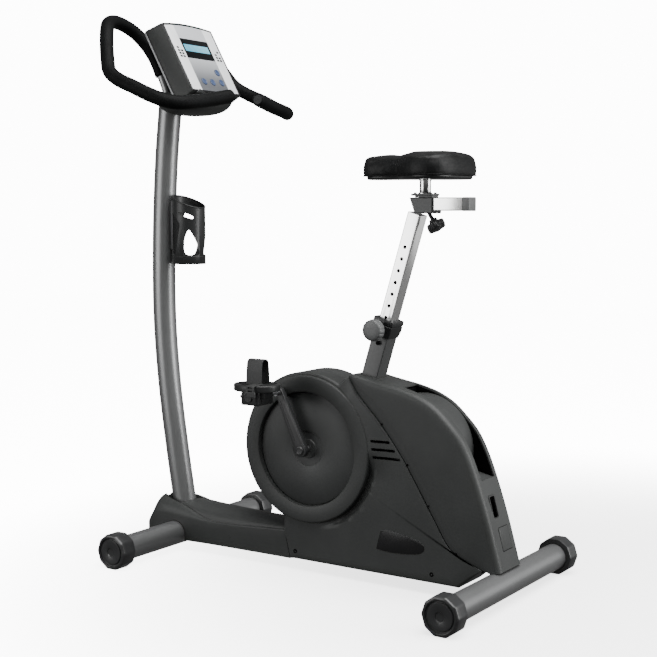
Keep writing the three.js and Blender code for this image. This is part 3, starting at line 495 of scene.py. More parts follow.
def display_face():
    """Black display window, a lit blue-green field across its upper half."""
    f = Finish("display_face", Specular_IOR_Level=0.12, Emission_Strength=0.9)
    across, up = f.axis("Y"), panel_height(f)
    field = across.ramp(-0.0552, -0.0546) * (1 - across.ramp(0.0535, 0.0541))
    field = field * up.ramp(0.1468, 0.1474) * (1 - up.ramp(0.1702, 0.1708))
    shade = f.mix((across + up * 1.5).ramp(0.16, 0.31), (0.055, 0.27, 0.40, 1), (0.28, 0.60, 0.72, 1))
    bars = f.noise(130.0, 1.0, 0.5, (1, 1, 0.3)).ramp(0.52, 0.6) * field * 0.16
    lit = f.mix(bars, shade, (0.55, 0.80, 0.88, 1))
    f.feed("Emission Color", f.mix(field, (0, 0, 0, 1), lit))
    f.feed("Base Color", f.mix(field, (0.004, 0.0045, 0.005, 1), (0.05, 0.16, 0.22, 1)))
    f.feed("Roughness", f.noise(40.0) * 0.05 + 0.12)
    return f.material


def panel_height(f):
    """Height up the console's panel, in metres, from its lower edge."""
    s, c = math.sin(CONSOLE_TILT), math.cos(CONSOLE_TILT)
    foot_x, foot_z = (CONSOLE_FOOT[0] + SHIFT) * 0.001, CONSOLE_FOOT[2] * 0.001
    return (f.axis("X") - foot_x) * -s + (f.axis("Z") - foot_z) * c


def panel_face():
    """Silver console panel: pale sides, and a middle strip that shades to grey lower down."""
    f = Finish("panel_face", Metallic=0.25, Specular_IOR_Level=0.4)
    across, up = f.axis("Y"), panel_height(f)
    strip = across.ramp(-0.0632, -0.0622) * (1 - across.ramp(0.0622, 0.0632))
    tone = f.mix(up.ramp(0.03, 0.16), (0.09, 0.093, 0.1, 1), (0.42, 0.43, 0.445, 1))
    pale = f.mix(f.noise(18.0, 2.0), (0.64, 0.65, 0.66, 1), (0.7, 0.705, 0.71, 1))
    f.feed("Base Color", f.mix(strip, pale, tone))
    f.feed("Roughness", f.noise(300.0, 2.0) * 0.08 + 0.34)
    f.bump(f.noise(2200.0, 2.0), 0.08, 0.00008)
    return f.material


def rubbed_disc():
    """Crank disc plastic with faint turned marks about its centre."""
    f = Finish("crank_disc_plastic", Specular_IOR_Level=0.32)
    f.worn((0.027, 0.0285, 0.028), 0.46, 0.1, 0.08)
    middle = {"Vector": f.place, "Location": (-0.00226, 0, -0.346)}
    centred = f.add("ShaderNodeMapping", {"vector_type": "POINT"}, middle)
    settings = {"wave_type": "RINGS", "rings_direction": "Y"}
    rings = f.add("ShaderNodeTexWave", settings, {"Vector": centred, "Scale": 130.0, "Distortion": 0.6})
    f.bump(rings * 0.25 + f.noise(900.0, 2.0), 0.22, 0.00012)
    return f.material


HOUSING = grained_plastic("housing_plastic", (0.026, 0.0275, 0.0268), 0.5, gloss=0.28)
DARK = grained_plastic("black_plastic", (0.012, 0.0125, 0.0127), 0.38, 1100.0, gloss=0.3)
# Near-black finish: painted shade in the housing's screw wells and the spine slot's walls, and the own black
# of the hatch joint, power inlet and sleeve screw.
BLACK_AND_PAINTED_SHADE = grained_plastic("black_and_painted_recess_shade", (0.0015, 0.0015, 0.0016), 0.6, 1100.0, gloss=0.04)
GLOSS = grained_plastic("plate_black", (0.007, 0.007, 0.0074), 0.22, 1400.0, strength=0.1, gloss=0.3)
CRANK_BLACK = grained_plastic("crank_enamel", (0.021, 0.0215, 0.022), 0.33, 700.0, 0.0001, 0.15)
GREY = grained_plastic("grey_plastic", (0.075, 0.077, 0.077), 0.47, 1000.0)
SLEEVE = grained_plastic("sleeve_enamel", (0.034, 0.035, 0.035), 0.38, 600.0, 0.0001, 0.2)
TRIM = grained_plastic("trim_silver", (0.55, 0.56, 0.57), 0.35, 1400.0, strength=0.1, gloss=0.5)
PAINT = painted_metal()
BRIGHT = bare_metal("bright_plated_steel", (0.88, 0.88, 0.87), 0.2, (6, 6, 0.6))
STEEL = bare_metal("machined_steel", (0.56, 0.57, 0.58), 0.3, (8, 1, 8))
IRON = cast_finish()
RUBBER = grained_plastic("strap_rubber", (0.018, 0.0185, 0.0185), 0.58, 800.0, 0.0002, 0.4)
FOAM = foam_rubber()
VINYL = saddle_vinyl()
PANEL = panel_face()
DISPLAY = display_face()
BLUE = grained_plastic("button_blue_plastic", (0.028, 0.045, 0.095), 0.38, 1400.0)
DISC = rubbed_disc()


# ---------- stabilisers ----------
def stabilisers():
    """Steel tubes with rounded lips, and ten-sided levelling caps with a ringed end face."""
    lip = HALF_WIDTH - 14
    wall = [(STABILISER_R - 2.5, -lip), (STABILISER_R, -lip), (STABILISER_R, lip), (STABILISER_R - 2.5, lip)]
    for end, x in (("front", -STABILISER_X), ("rear", STABILISER_X)):
        tube_shape = turned_y(wall, x, STABILISER_Z, 72, "joined")
        name = f"{end}_stabiliser"
        piece(name, tube_shape, PAINT, "frame", [f"{name}_tube"])
        for side, sign in (("left", -1), ("right", 1)):
            cap = handed(end_cap(x), sign)
            node = f"{end}_{side}_end_cap"
            piece(f"{end}_{side}_foot", cap, CRANK_BLACK, "frame", [node], sharp=28)


def end_cap(x):
    """Rings from the socket's floor, out over the ten-sided rim, to the middle of the face:
    each is a ten-sided, a round or a blended outline at its own depth."""
    count = 20 * CAP_SIDES
    a = (np.arange(count) + 0.5) * FULL / count
    sector = a % (FULL / CAP_SIDES) - math.pi / CAP_SIDES
    flat = CAP_R * math.cos(math.pi / CAP_SIDES) / np.cos(sector)
    flat = np.minimum(flat, CAP_R * 0.985)
    bore, outer, inner = STABILISER_R + GAP, HALF_WIDTH, HALF_WIDTH - CAP_LENGTH
    steps = [  # radius, or None for the ten-sided rim; how far it is drawn in; depth |y|
        (0, 0, outer - 13.6), (bore, 0, outer - 13.6), (bore, 0, inner + 1), (bore + 1.2, 0, inner),
        (None, 4, inner), (None, 1.2, inner + 0.9), (None, 0, inner + 3.5), (None, 0, outer - 6),
        (None, 0.7, outer - 3.4), (None, 2.4, outer - 1.3), (None, 5, outer - 0.3), (43.5, 0, outer),
        (41.5, 0, outer), (40.4, 0, outer - 0.6), (39.6, 0, outer - 4.5), (36.6, 0, outer - 5),
        (35.8, 0, outer - 4.6), (35, 0, outer - 2.4), (33.6, 0, outer - 1.4), (14, 0, outer - 1.0),
        (12.6, 0, outer - 1.6), (11.6, 0, outer - 3.4), (9, 0, outer - 3.6), (0, 0, outer - 3.6),
    ]
    rings = []
    for radius, drawn, depth in steps:
        r = flat - drawn if radius is None else np.full(count, float(radius))
        rings.append(np.column_stack([x + r * np.cos(a), np.full(count, -depth),
                                      STABILISER_Z + r * np.sin(a)]))
    return skin(rings, "poles")


# ---------- mast and base ----------
MAST_LINE = curve_through(
    [(-542, 0, 120), (-573, 0, 305), (-599, 0, 490), (-614, 0, 680), (-614, 0, 900), (-601, 0, 1140),
     (-580, 0, 1335)]
)


def mast():
    shape = tube(MAST_LINE, MAST_R, 72, (1.5, 1.5), 12, bore=MAST_R - 2.5)
    piece("mast", shape, PAINT, "frame", ["mast_tube"])


def base_cover():
    """Boot over the base: at each station the section rises from the foot over a shoulder to
    a lip that runs round the mast, steps down inside it and closes in a low crown."""
    table = np.array(  # x, half width, shoulder, lip height, lip |y|, step, crown
        [
            (-650, 30, 48, 58, 6, 0, 59), (-645, 48, 57, 72, 8, 0, 73), (-634, 60, 68, 88, 9, 0, 89),
            (-620, 68, 80, 111, 7, 0, 112), (-608, 72, 90, 137, 5, 0, 138),
            (-602, 73.5, 95, 146, 14, 6, 138),
            (-594, 75, 98, 148, 27, 14, 131), (-580, 76, 102, 147, 39, 19, 126),
            (-560, 76.5, 105, 143, 46, 19, 124),
            (-530, 76, 104, 137, 51, 12, 132), (-500, 74.5, 101, 130, 54, 7, 138),
            (-470, 72, 99, 121, 57, 4, 139),
            (-430, 69, 96, 107, 60, 1.6, 138), (-395, 67, 95, 99, 61.5, 0.2, 136.5),
            (-340, 65, 95, 99, 60.5, 0, 134),
            (-270, 63.5, 97, 102, 59, 0, 131), (-200, 62, 101, 106, 57.5, 0, 129.5),
            (-130, 61, 105, 110, 56.5, 0, 128),
        ],
        float,
    )
    dense = curve_through(table, 7)
    x, half, shoulder, lip, lip_y, step, crown = dense.T
    step, lip_y = np.maximum(step, 0), np.maximum(lip_y, 2)
    inside = np.maximum(lip - step, 70)
    foot = 30.0
    rows = [(half, foot + 0 * x), (half, foot + 2 + 0 * x)]
    rows += [(half, foot + (shoulder - foot) * k) for k in (0.35, 0.7, 1.0)]
    for k in np.linspace(0.12, 0.94, 7):  # shoulder to lip: a quarter of an ellipse, eased
        a = k * math.pi / 2
        rows.append((lip_y + (half - lip_y) * math.cos(a),
                     shoulder + (lip - shoulder) * math.sin(a) ** 1.15))
    rows += [(lip_y + 0.8, lip), (lip_y - 0.6, lip - 0.15), (lip_y - 1.6, lip - 1.0 * (step > 1))]
    rows.append((lip_y - 2.4 - 0.1 * step, inside))
    for k in np.linspace(0.15, 1.0, 7):  # inside the lip: an arch up to the crown
        a = k * math.pi / 2
        rows.append(((lip_y - 2.6) * math.cos(a), inside + (crown - inside) * math.sin(a)))
    y, z = (np.array([np.broadcast_to(r[k], x.shape) for r in rows]) for k in (0, 1))
    lean = np.zeros_like(x)
    lean[-1] = 0.25  # the end follows the front edge of the side covers
    outer = np.stack([x + lean * np.maximum(100 - z, 0), y, z], -1)
    # Inside wall, thick at the nose, open below.
    open_share = smooth_step((x + 651) / 12)
    roof = np.minimum(crown, inside) - 4.5
    arch = [(0.0, roof), (0.45, roof - 1), (0.8, np.minimum(roof - 5, shoulder + 6)), (1.0, shoulder - 3),
            (1.0, foot + 0 * x)]
    inner = []
    for share, height in arch:
        level = foot + (height - foot) * open_share
        inner.append(np.column_stack([x + lean * np.maximum(100 - level, 0), share * (half - WALL), level]))
    inner = np.array(inner)
    loop = np.concatenate([outer, outer[-2::-1] * (1, -1, 1), inner[::-1] * (1, -1, 1), inner[1:]])
    shell = skin(loop.transpose(1, 0, 2))
    passage = turned_y([(0, -300), (STABILISER_R + 1.2, -300), (STABILISER_R + 1.2, 300), (0, 300)],
                       -STABILISER_X, STABILISER_Z, 64)
    foot_slot = slab([(-STABILISER_X - 36.2, -10), (-STABILISER_X + 36.2, -10),
                      (-STABILISER_X + 36.2, 49), (-STABILISER_X - 36.2, 49)], -300, 300)
    mast_hole = tube(MAST_LINE[:40], MAST_R + 2, 48, (0.5, 0.5), 20)
    shape = carve(shell, passage, foot_slot, mast_hole)
    piece("base_shroud", shape, HOUSING, "frame", ["base_cover"], sharp=38)


# ---------- housing ----------
SEAM = even(
    curve_through([(486, 88), (400, 125), (343, 206), (299, 277), (244, 361), (177, 443), (113, 509),
                   (84, 553)]), 90
)
BACK = even(
    curve_through(
        [(537, 88), (500, 218), (470, 307), (444, 372), (415, 424), (380, 462), (343, 494), (300, 517),
         (247, 533),
         (183, 545), (90, 562)]
    ),
    90,
)


def seat_frame():
    """Origin and axes of the seat post: local Z runs up the post."""
    s, c = math.sin(SEAT_TILT), math.cos(SEAT_TILT)
    return SEAT_AXIS, (c, 0, -s), (0, 1, 0), (s, 0, c)


def console_frame():
    """Origin and axes of the console: local Z up the panel, local X out of it."""
    s, c = math.sin(CONSOLE_TILT), math.cos(CONSOLE_TILT)
    return CONSOLE_FOOT, (c, 0, s), (0, 1, 0), (-s, 0, c)


def sleeve_tunnel():
    return moved(slab(box_outline(52.5, 52.5, 4), -200, 60, plane="xy"), *seat_frame())


def side_cover(sign):
    """Rings about the crank: the dish, the moulded ring, then a side that swells to meet the
    ring at the rear, out to the outline, round its rim to the middle and back inside."""
    start = math.degrees(math.asin((150 - CRANK[1]) / DRUM_R))
    sweep = np.radians(np.linspace(180 - start, 61, 110))
    drum = CRANK + DRUM_R * np.column_stack([np.cos(sweep), np.sin(sweep)])
    seam = SEAM[::-1] - (1.5, 0)
    foot = even([(418, 32), (-109, 32)], 60)[1:-1]
    outline = tidy(np.vstack([[(-109, 32), (-114, 52), (-120, 76), (-127, 100), (-129, 125)], drum, seam,
                              [(452, 60), (418, 32)], foot]))
    count = len(outline)
    on_seam = np.zeros(count)
    first = 5 + len(drum)
    on_seam[first : first + len(seam)] = 1
    radius = np.where(on_seam > 0, 1.3, 8.0)
    radius[:5] = 1.3
    ray = outline - CRANK
    spoke = np.unwrap(np.arctan2(ray[:, 1], ray[:, 0]))
    spoke = np.minimum.accumulate(spoke)
    for _ in range(12):  # evened out where the outline runs straight away from the crank
        spoke[1:-1] = (spoke[:-2] + 2 * spoke[1:-1] + spoke[2:]) / 4
    ray = np.column_stack([np.cos(spoke), np.sin(spoke)])

    def swell(flat):
        """How far the side stands out near the ring, on its rear half."""
        out = flat - CRANK
        a = np.degrees(np.arctan2(out[:, 1], out[:, 0]))
        r = np.linalg.norm(out, axis=1)
        window = smooth_step((a + 16) / 22) * (1 - smooth_step((a - 46) / 14))
        groove = smooth_step((4 - a) / 24) * smooth_step((a + 82) / 30)
        fade = 1 - smooth_step((r - RING_R) / 78)
        return window, COVER_Y + 8.6 * window * fade - 11.0 * groove * (1
            - smooth_step((r - RING_R - 11) / 9))

    def ring(r, depth):
        flat = CRANK + ray * np.broadcast_to(r, count)[:, None]
        return np.column_stack([flat[:, 0], np.broadcast_to(-np.abs(depth), count), flat[:, 1]])

    def rim(drawn, depth):
        flat = inset(outline, drawn)
        return np.column_stack([flat[:, 0], np.broadcast_to(-np.abs(depth), count), flat[:, 1]])

    window, beside_ring = swell(CRANK + ray * (RING_R + 1))
    rings = [ring(29, DISH_Y - WALL), ring(29, DISH_Y), ring(RING_INNER - 1, DISH_Y)]
    rings += [ring(RING_INNER, DISH_Y + 1), ring(RING_INNER, RING_FACE - 3),
              ring(RING_INNER + 1, RING_FACE - 0.9)]
    rings += [ring(RING_INNER + 3, RING_FACE), ring(RING_R - 5, RING_FACE)]
    for a in np.linspace(0.3, 1, 5) * math.pi / 2:
        rings.append(ring(RING_R - 4.5 * (1 - math.sin(a)),
                          RING_FACE - np.where(window > 0.9, 1.2, 4.5) * (1 - math.cos(a))))
    rings.append(ring(RING_R, beside_ring - 0.4 * (window > 0.5)))
    start, edge = CRANK + ray * (RING_R + 1.2), inset(outline, radius)
    for k in np.linspace(0, 1, 20) ** 1.6:
        flat = start + (edge - start) * k
        rings.append(np.column_stack([flat[:, 0], -swell(flat)[1], flat[:, 1]]))
    for a in np.linspace(0, math.pi / 2, 6):
        rings.append(rim(radius * (1 - math.sin(a)), COVER_Y - radius * (1 - math.cos(a))))
    floor = np.where(on_seam > 0, COVER_Y - 7.0, GAP / 2)
    rings += [rim(0, floor + 1.0), rim(0.8, floor), rim(WALL, floor)]
    rings += [rim(WALL, COVER_Y - WALL - 6), rim(WALL + 6, COVER_Y - WALL)]
    reach = np.linalg.norm(outline - CRANK, axis=1)
    rings.append(ring(np.minimum(RING_R + 32, reach - 11), COVER_Y - WALL))
    rings.append(ring(np.minimum(RING_R + 18, reach - 13), COVER_Y - WALL - 11))
    rings += [ring(RING_INNER + 5, COVER_Y - WALL - 11)]
    rings.append(ring(RING_INNER + WALL, DISH_Y - WALL))
    shape = skin(rings, "joined")
    vents = []
    for i in range(3):
        length, middle = 56 + 13 * i, 389.5 - 21.5 * i
        outline_2d = box_outline(length, 7.6, 3.6, 157 + 3 * i + length / 2, middle)
        vents.append(slab(outline_2d, -90, -50))
    return handed(carve(shape, *vents), sign)


def spine_cover():
    """Stations from the foot to the sleeve: lip, a shallow bevel beside the seam, flat side,
    rounded edge and flat back, and the same again on the other side."""
    toward = unit(BACK - SEAM)
    tangent = unit(np.gradient(BACK, axis=0))
    normal = np.column_stack([-tangent[:, 1], tangent[:, 0]])
    normal *= np.sign((normal * (SEAM - BACK)).sum(1))[:, None]
    width = np.linalg.norm(BACK - SEAM, axis=1)
    r = np.minimum(17, 0.32 * width)[:, None]
    bevel = np.minimum(26, 0.3 * width)[:, None]
    start = SEAM + toward * 1.3
    outer = [(start + toward * 0.8, 57.5), (start, 58.2), (start, 62.4), (start + toward * 0.5, 63.2)]
    outer += [(start + toward * 1.4, 63.5), (start + toward * bevel * 0.5, 64.0),
              (start + toward * bevel, 64.9)]
    outer += [(start + toward * (bevel + 1.5), 65.0), (BACK + normal * r * 1.5, 65.0)]
    for a in np.linspace(0, math.pi / 2, 9):
        outer.append((BACK + normal * r * (1 - math.sin(a)), 65 - r[:, 0] * (1 - math.cos(a))))
    for y in (40.5, 38.6, 37.4, 36, 18, 0):
        outer.append((BACK, np.minimum(y, 64.0 - r[:, 0])))
    inner = [(start + toward * 4, 57.5), (start + toward * 4.5, 61.0), (BACK + normal * r * 1.5, 61.0)]
    for a in np.linspace(0, math.pi / 2, 6):
        inner.append((BACK + normal * (4 + (r - 4).clip(0.5) * (1 - math.sin(a))),
                      61 - (r[:, 0] - 4).clip(0.5) * (1 - math.cos(a))))
    inner.append((BACK + normal * 4, 0))

    def row(flat, depth):
        return np.column_stack([flat[:, 0], -np.broadcast_to(np.asarray(depth, float), len(flat)),
                                flat[:, 1]])

    half = np.array([row(*o) for o in outer])
    half_inner = np.array([row(*i) for i in inner])
    loop = np.concatenate([half, half[-2::-1] * (1, -1, 1), half_inner * (1, -1, 1), half_inner[-2::-1]])
    shell = skin(loop.transpose(1, 0, 2))
    slot = slab(
        fillet([(232, 640), (236, 430), (300, 430), (380, 330), (440, 312), (560, 312), (560, 640)], 3),
        -37, 37,
    )
    inlet = slab(fillet([(-25, 272), (1, 272), (1, 216), (-25, 216)], 5), 440, 560, plane="yz")
    shell = carve(shell, slot, inlet, sleeve_tunnel())
    # Walls of the slot, down to the flywheel's guard, and the ledge at its foot.
    arc = np.radians(np.linspace(98, -12, 40))
    guard = WHEEL + (GUARD_R - 5) * np.column_stack([np.cos(arc), np.sin(arc)])
    inside_back = BACK + normal * 4.1
    chosen = inside_back[(inside_back[:, 0] > 228) & (inside_back[:, 1] > 306)]
    web = tidy(np.vstack([chosen, guard]))
    walls = [slab(web, y, y + 2.4) for y in (-39.6, 37.2)]
    ledge = [(463, 311.5), (463, 308.5), (398, 322), (398, 325)]
    ledge = slab(ledge, -37, 37)
    front = [(236, 528), (233.5, 528), (233.5, 508), (236, 508)]
    return joined(shell, ledge), joined(*walls, slab(front, -37, 37))


def flywheel_guard():
    """Curved band over the flywheel: a thin rounded section carried round its arc."""
    arc = np.radians(np.linspace(108, -8, 110))
    section = fillet([(GUARD_R - 3, -36), (GUARD_R, -36), (GUARD_R, 36), (GUARD_R - 3, 36)], 1.2, 4)
    r, y = section.T
    x = WHEEL[0] + np.cos(arc)[:, None] * r
    z = WHEEL[1] + np.sin(arc)[:, None] * r
    return skin(np.stack([x, np.broadcast_to(y, x.shape), z], -1))


def screw(x, z, depth, radius=6.2):
    """Sunk screw in a moulded well: a dark cup with a sloping rim and a recessed head."""
    profile = [(0, depth - 3), (radius, depth - 3), (radius, depth + 0.25), (radius - 0.5, depth + 0.5),
               (radius - 1.0, depth + 0.2), (radius - 1.3, depth + 0.05), (2.2, depth + 0.1),
               (1.6, depth - 0.9),
               (0, depth - 1.0)]
    return turned_y([(r, -d) for r, d in profile], x, z, 28)


def housing():
    for side, sign in (("left", -1), ("right", 1)):
        shape = side_cover(sign)
        piece(f"{side}_housing_half", shape, HOUSING, "frame", [f"{side}_side_cover"], sharp=34)
        heads = [screw(-92, 54, 65), screw(341, 56, 65), screw(113, 484, 66.5), screw(-327, 60, 64.2, 5.4)]
        clips = [seam_clip(t) for t in (0.14, 0.36, 0.56, 0.76)]
        # The screw wells are near black as painted shade in the wells; the seam clips share this piece and
        # finish.
        piece(f"{side}_housing_screws", handed(joined(*heads, *clips), sign), BLACK_AND_PAINTED_SHADE, "frame")
        plate = fillet([(172, 100), (186, 152), (206, 157), (262, 149), (303, 139), (319, 127), (319, 114),
                        (303, 104),
                        (262, 98), (214, 96)], [4, 7, 12, 16, 12, 9, 9, 12, 16, 14], 6)
        badge = handed(slab(plate, -66.1, -64.6, (0.8, 0)), sign)
        piece(f"{side}_housing_plate", badge, GLOSS, "frame")
    shell, walls = spine_cover()
    piece("spine", shell, HOUSING, "frame", ["rear_spine_cover"], sharp=34)
    # The slot's walls are near black: painted shade inside the slot.
    piece("slot_walls", walls, BLACK_AND_PAINTED_SHADE, "frame")
    piece("flywheel_hood", flywheel_guard(), HOUSING, "frame", ["flywheel_guard"])


def seam_clip(share):
    """Small latch tongue that bridges the seam."""
    x, z = SEAM[int(share * (len(SEAM) - 1))]
    return moved(slab(box_outline(7, 5, 1.6), -65.1, -62.0, (0.8, 0)), (x + 3.5, 0, z + 1))


def spine_details():
    """Socket surround, and the maintenance hatch below it, set on the sloping back."""
    slope = unit(BACK[12] - BACK[2])
    up, out = (slope[0], 0, slope[1]), (slope[1], 0, -slope[0])

    def on_back(height):
        x = np.interp(height, BACK[:, 1], BACK[:, 0])
        return (x, 0, height)

    surround = box_outline(31, 63, 9, -12, 0, 7)
    hole = box_outline(24.5, 54.5, 5, -12, 0, 7)
    rim = carve(slab(surround, -3.0, 0.9, (0, 0.8), "xy"), slab(hole, -10, 10, plane="xy"))
    rim = moved(rim, on_back(244), (0, 1, 0), up, out)
    piece("socket_surround", rim, DARK, "frame")
    hatch_gap = slab(box_outline(53, 62, 4, 6, 0), -1.5, 0.15, plane="xy")
    hatch = slab(box_outline(50, 59, 3, 6, 0), 0, 0.9, (0, 0.7), "xy")
    place = on_back(163)
    piece("hatch_joint", moved(hatch_gap, place, (0, 1, 0), up, out), BLACK_AND_PAINTED_SHADE, "frame")
    piece("hatch", moved(hatch, place, (0, 1, 0), up, out), HOUSING, "frame")


# ---------- cranks and pedals ----------
def crank_parts():
    for side, sign in (("left", -1), ("right", 1)):
        turn = -LEAN if sign < 0 else math.pi - LEAN
        s, c = math.sin(turn), math.cos(turn)
        here = ((CRANK[0], 0, CRANK[1]), (c, 0, -s), (0, 1, 0), (s, 0, c))
        root, tip = np.radians(np.linspace(167, 373, 30)), np.radians(np.linspace(5, 175, 24))
        outline = np.vstack([
            19 * np.column_stack([np.cos(root), np.sin(root)]),
            (0, CRANK_LENGTH) + 12.5 * np.column_stack([np.cos(tip), np.sin(tip)]),
        ])
        arm = slab(outline, -ARM_Y - ARM_THICK, -ARM_Y, (2.6, 1.6))
        channel = [(-5.5, 30), (5.5, 30), (4.6, CRANK_LENGTH - 22), (-4.6, CRANK_LENGTH - 22)]
        groove = slab(fillet(channel, 3), -ARM_Y - ARM_THICK - 4, -ARM_Y - ARM_THICK + 1.1)
        arm = handed(carve(arm, groove), sign)
        node = f"{side}_crank_arm"
        piece(f"{side}_crank", moved(arm, *here), CRANK_BLACK, "crank", [node])
        face = ARM_Y + ARM_THICK
        cap = [(0, -face + 3), (11.5, -face + 3), (11.5, -face - 2.4), (10.6, -face - 3.8),
               (8.8, -face - 4.4),
               (8.2, -face - 3.6), (4.5, -face - 3.4), (0, -face - 3.4)]
        bolt = handed(turned_y(cap, 0, 0, 48), sign)
        piece(f"{side}_crank_cap", moved(bolt, *here), CRANK_BLACK, "crank",
              [f"{side}_crank_bolt"])
        back, front = DISH_Y + GAP, DISH_Y + GAP + 4.2
        disc = [(8.9, -back), (DISC_R, -back), (DISC_R, -front + 2.2), (DISC_R - 0.7, -front + 0.8),
                (DISC_R - 2.4, -front), (51, -front), (49.2, -front + 0.5), (47.4, -front + 2.6),
                (27, -front + 2.9),
                (25.5, -front + 1.2), (24, -front + 0.9), (8.9, -front + 0.9)]
        shape = moved(handed(turned_y(disc, 0, 0, 180, "joined"), sign), *here)
        piece(f"{side}_disc", shape, DISC, "crank", [f"{side}_crank_disc"])
        pedal(side, sign, (CRANK[0] + CRANK_LENGTH * s, 0, CRANK[1] + CRANK_LENGTH * c))


def pedal(side, sign, axle):
    """Oval platform with a thick ribbed rim over a weighted block, and its moulded strap."""
    x, _, z = axle
    a = np.arange(120) * FULL / 120
    oval = np.column_stack([66 * np.cos(a), 56 * np.sin(a)])
    origin = (x, sign * PEDAL_Y, z)
    plate = slab(oval, PEDAL_RISE - 18, PEDAL_RISE, (2, 3.5), "xy", 6)
    well = slab(oval * 0.86, PEDAL_RISE - 2.2, PEDAL_RISE + 9, plane="xy")
    plate = carve(plate, well)
    ribs = [slab(box_outline(3.2, 84 - abs(i) * 7.5, 1.4, i * 13 - 3), PEDAL_RISE - 3, PEDAL_RISE - 0.3,
                 (0, 1.2), "xy")
            for i in range(-3, 4)]
    block = slab(box_outline(58, 74, 9), -20, PEDAL_RISE - 17, (4, 0), "xy", 5)
    skirt = slab(box_outline(74, 52, 12), -2, PEDAL_RISE - 17, (3, 0), "xy", 4)
    body = carve(block, skirt, operation="UNION")
    hub = turned([(0, -40), (10, -40), (11, -39), (11, 39), (10, 40), (0, 40)], 40)
    hub = moved(hub, (0, 0, 0), (1, 0, 0), (0, 0, 1), (0, 1, 0))
    reflector = slab(box_outline(3, 40, 1.2, 29.6, 0), -12, 6, (1, 1), "xy")
    shape = moved(joined(plate, body, hub, reflector, *ribs), origin)
    piece(f"{side}_pedal", shape, DARK, f"{side}_pedal", [f"{side}_pedal_body"])
    half, rise = 18, 67
    low, high = PEDAL_RISE - 2, PEDAL_RISE + rise
    spine = curve_through([(-half, low), (-half + 0.4, low + 22), (-half + 2, low + 44),
                           (-half + 7, high - 5),
                           (0, high - 1.5), (half - 7, high - 5), (half - 2, low + 44),
                           (half - 0.4, low + 22), (half, low)], 8)
    tangent = unit(np.gradient(spine, axis=0))
    off = np.column_stack([-tangent[:, 1], tangent[:, 0]]) * 1.5
    ring = np.vstack([spine + off, (spine - off)[::-1]])
    arch = slab(ring, -22, 28, (0.7, 0.7), "yz")
    rim = 57.5
    tail_line = fillet([(half - 2, low + 3), (rim + 1.4, low + 3), (rim + 1.4, PEDAL_RISE - 30)], 6, 8,
                       closed=False)
    tangent = unit(np.gradient(tail_line, axis=0))
    off = np.column_stack([-tangent[:, 1], tangent[:, 0]]) * 1.4
    tail = slab(np.vstack([tail_line + off, (tail_line - off)[::-1]]), 8, 34, (0.6, 0.6), "yz")
    slots = [slab(box_outline(15, 4.4, 1.6, 21, PEDAL_RISE - 4 - 9 * i), rim - 12, rim + 12,
                  plane="xy") for i in range(3)]
    slots = [moved(s, (0, 0, 0), (1, 0, 0), (0, 0, 1), (0, 1, 0)) for s in slots]
    tail = carve(tail, *slots)
    buckle = carve(
        slab(box_outline(34, 15, 3, 21, PEDAL_RISE - 22), rim - 0.5, rim + 4.6, (1, 1.2)),
        slab(box_outline(25, 6.5, 2, 21, PEDAL_RISE - 22), rim + 3.2, rim + 9),
    )
    button = turned([(0, -1), (4.5, -1), (5, 0), (4.6, 4), (3.4, 5.2), (0, 5.6)], 28)
    button = moved(button, (-8, rim - 3, 8), (1, 0, 0), (0, 0, -1), (0, 1, 0))
    strap = joined(arch, tail, buckle, button)
    strap = strap if sign > 0 else mirrored(strap)
    piece(f"{side}_strap", moved(strap, origin), RUBBER, f"{side}_pedal", [f"{side}_pedal_strap"])


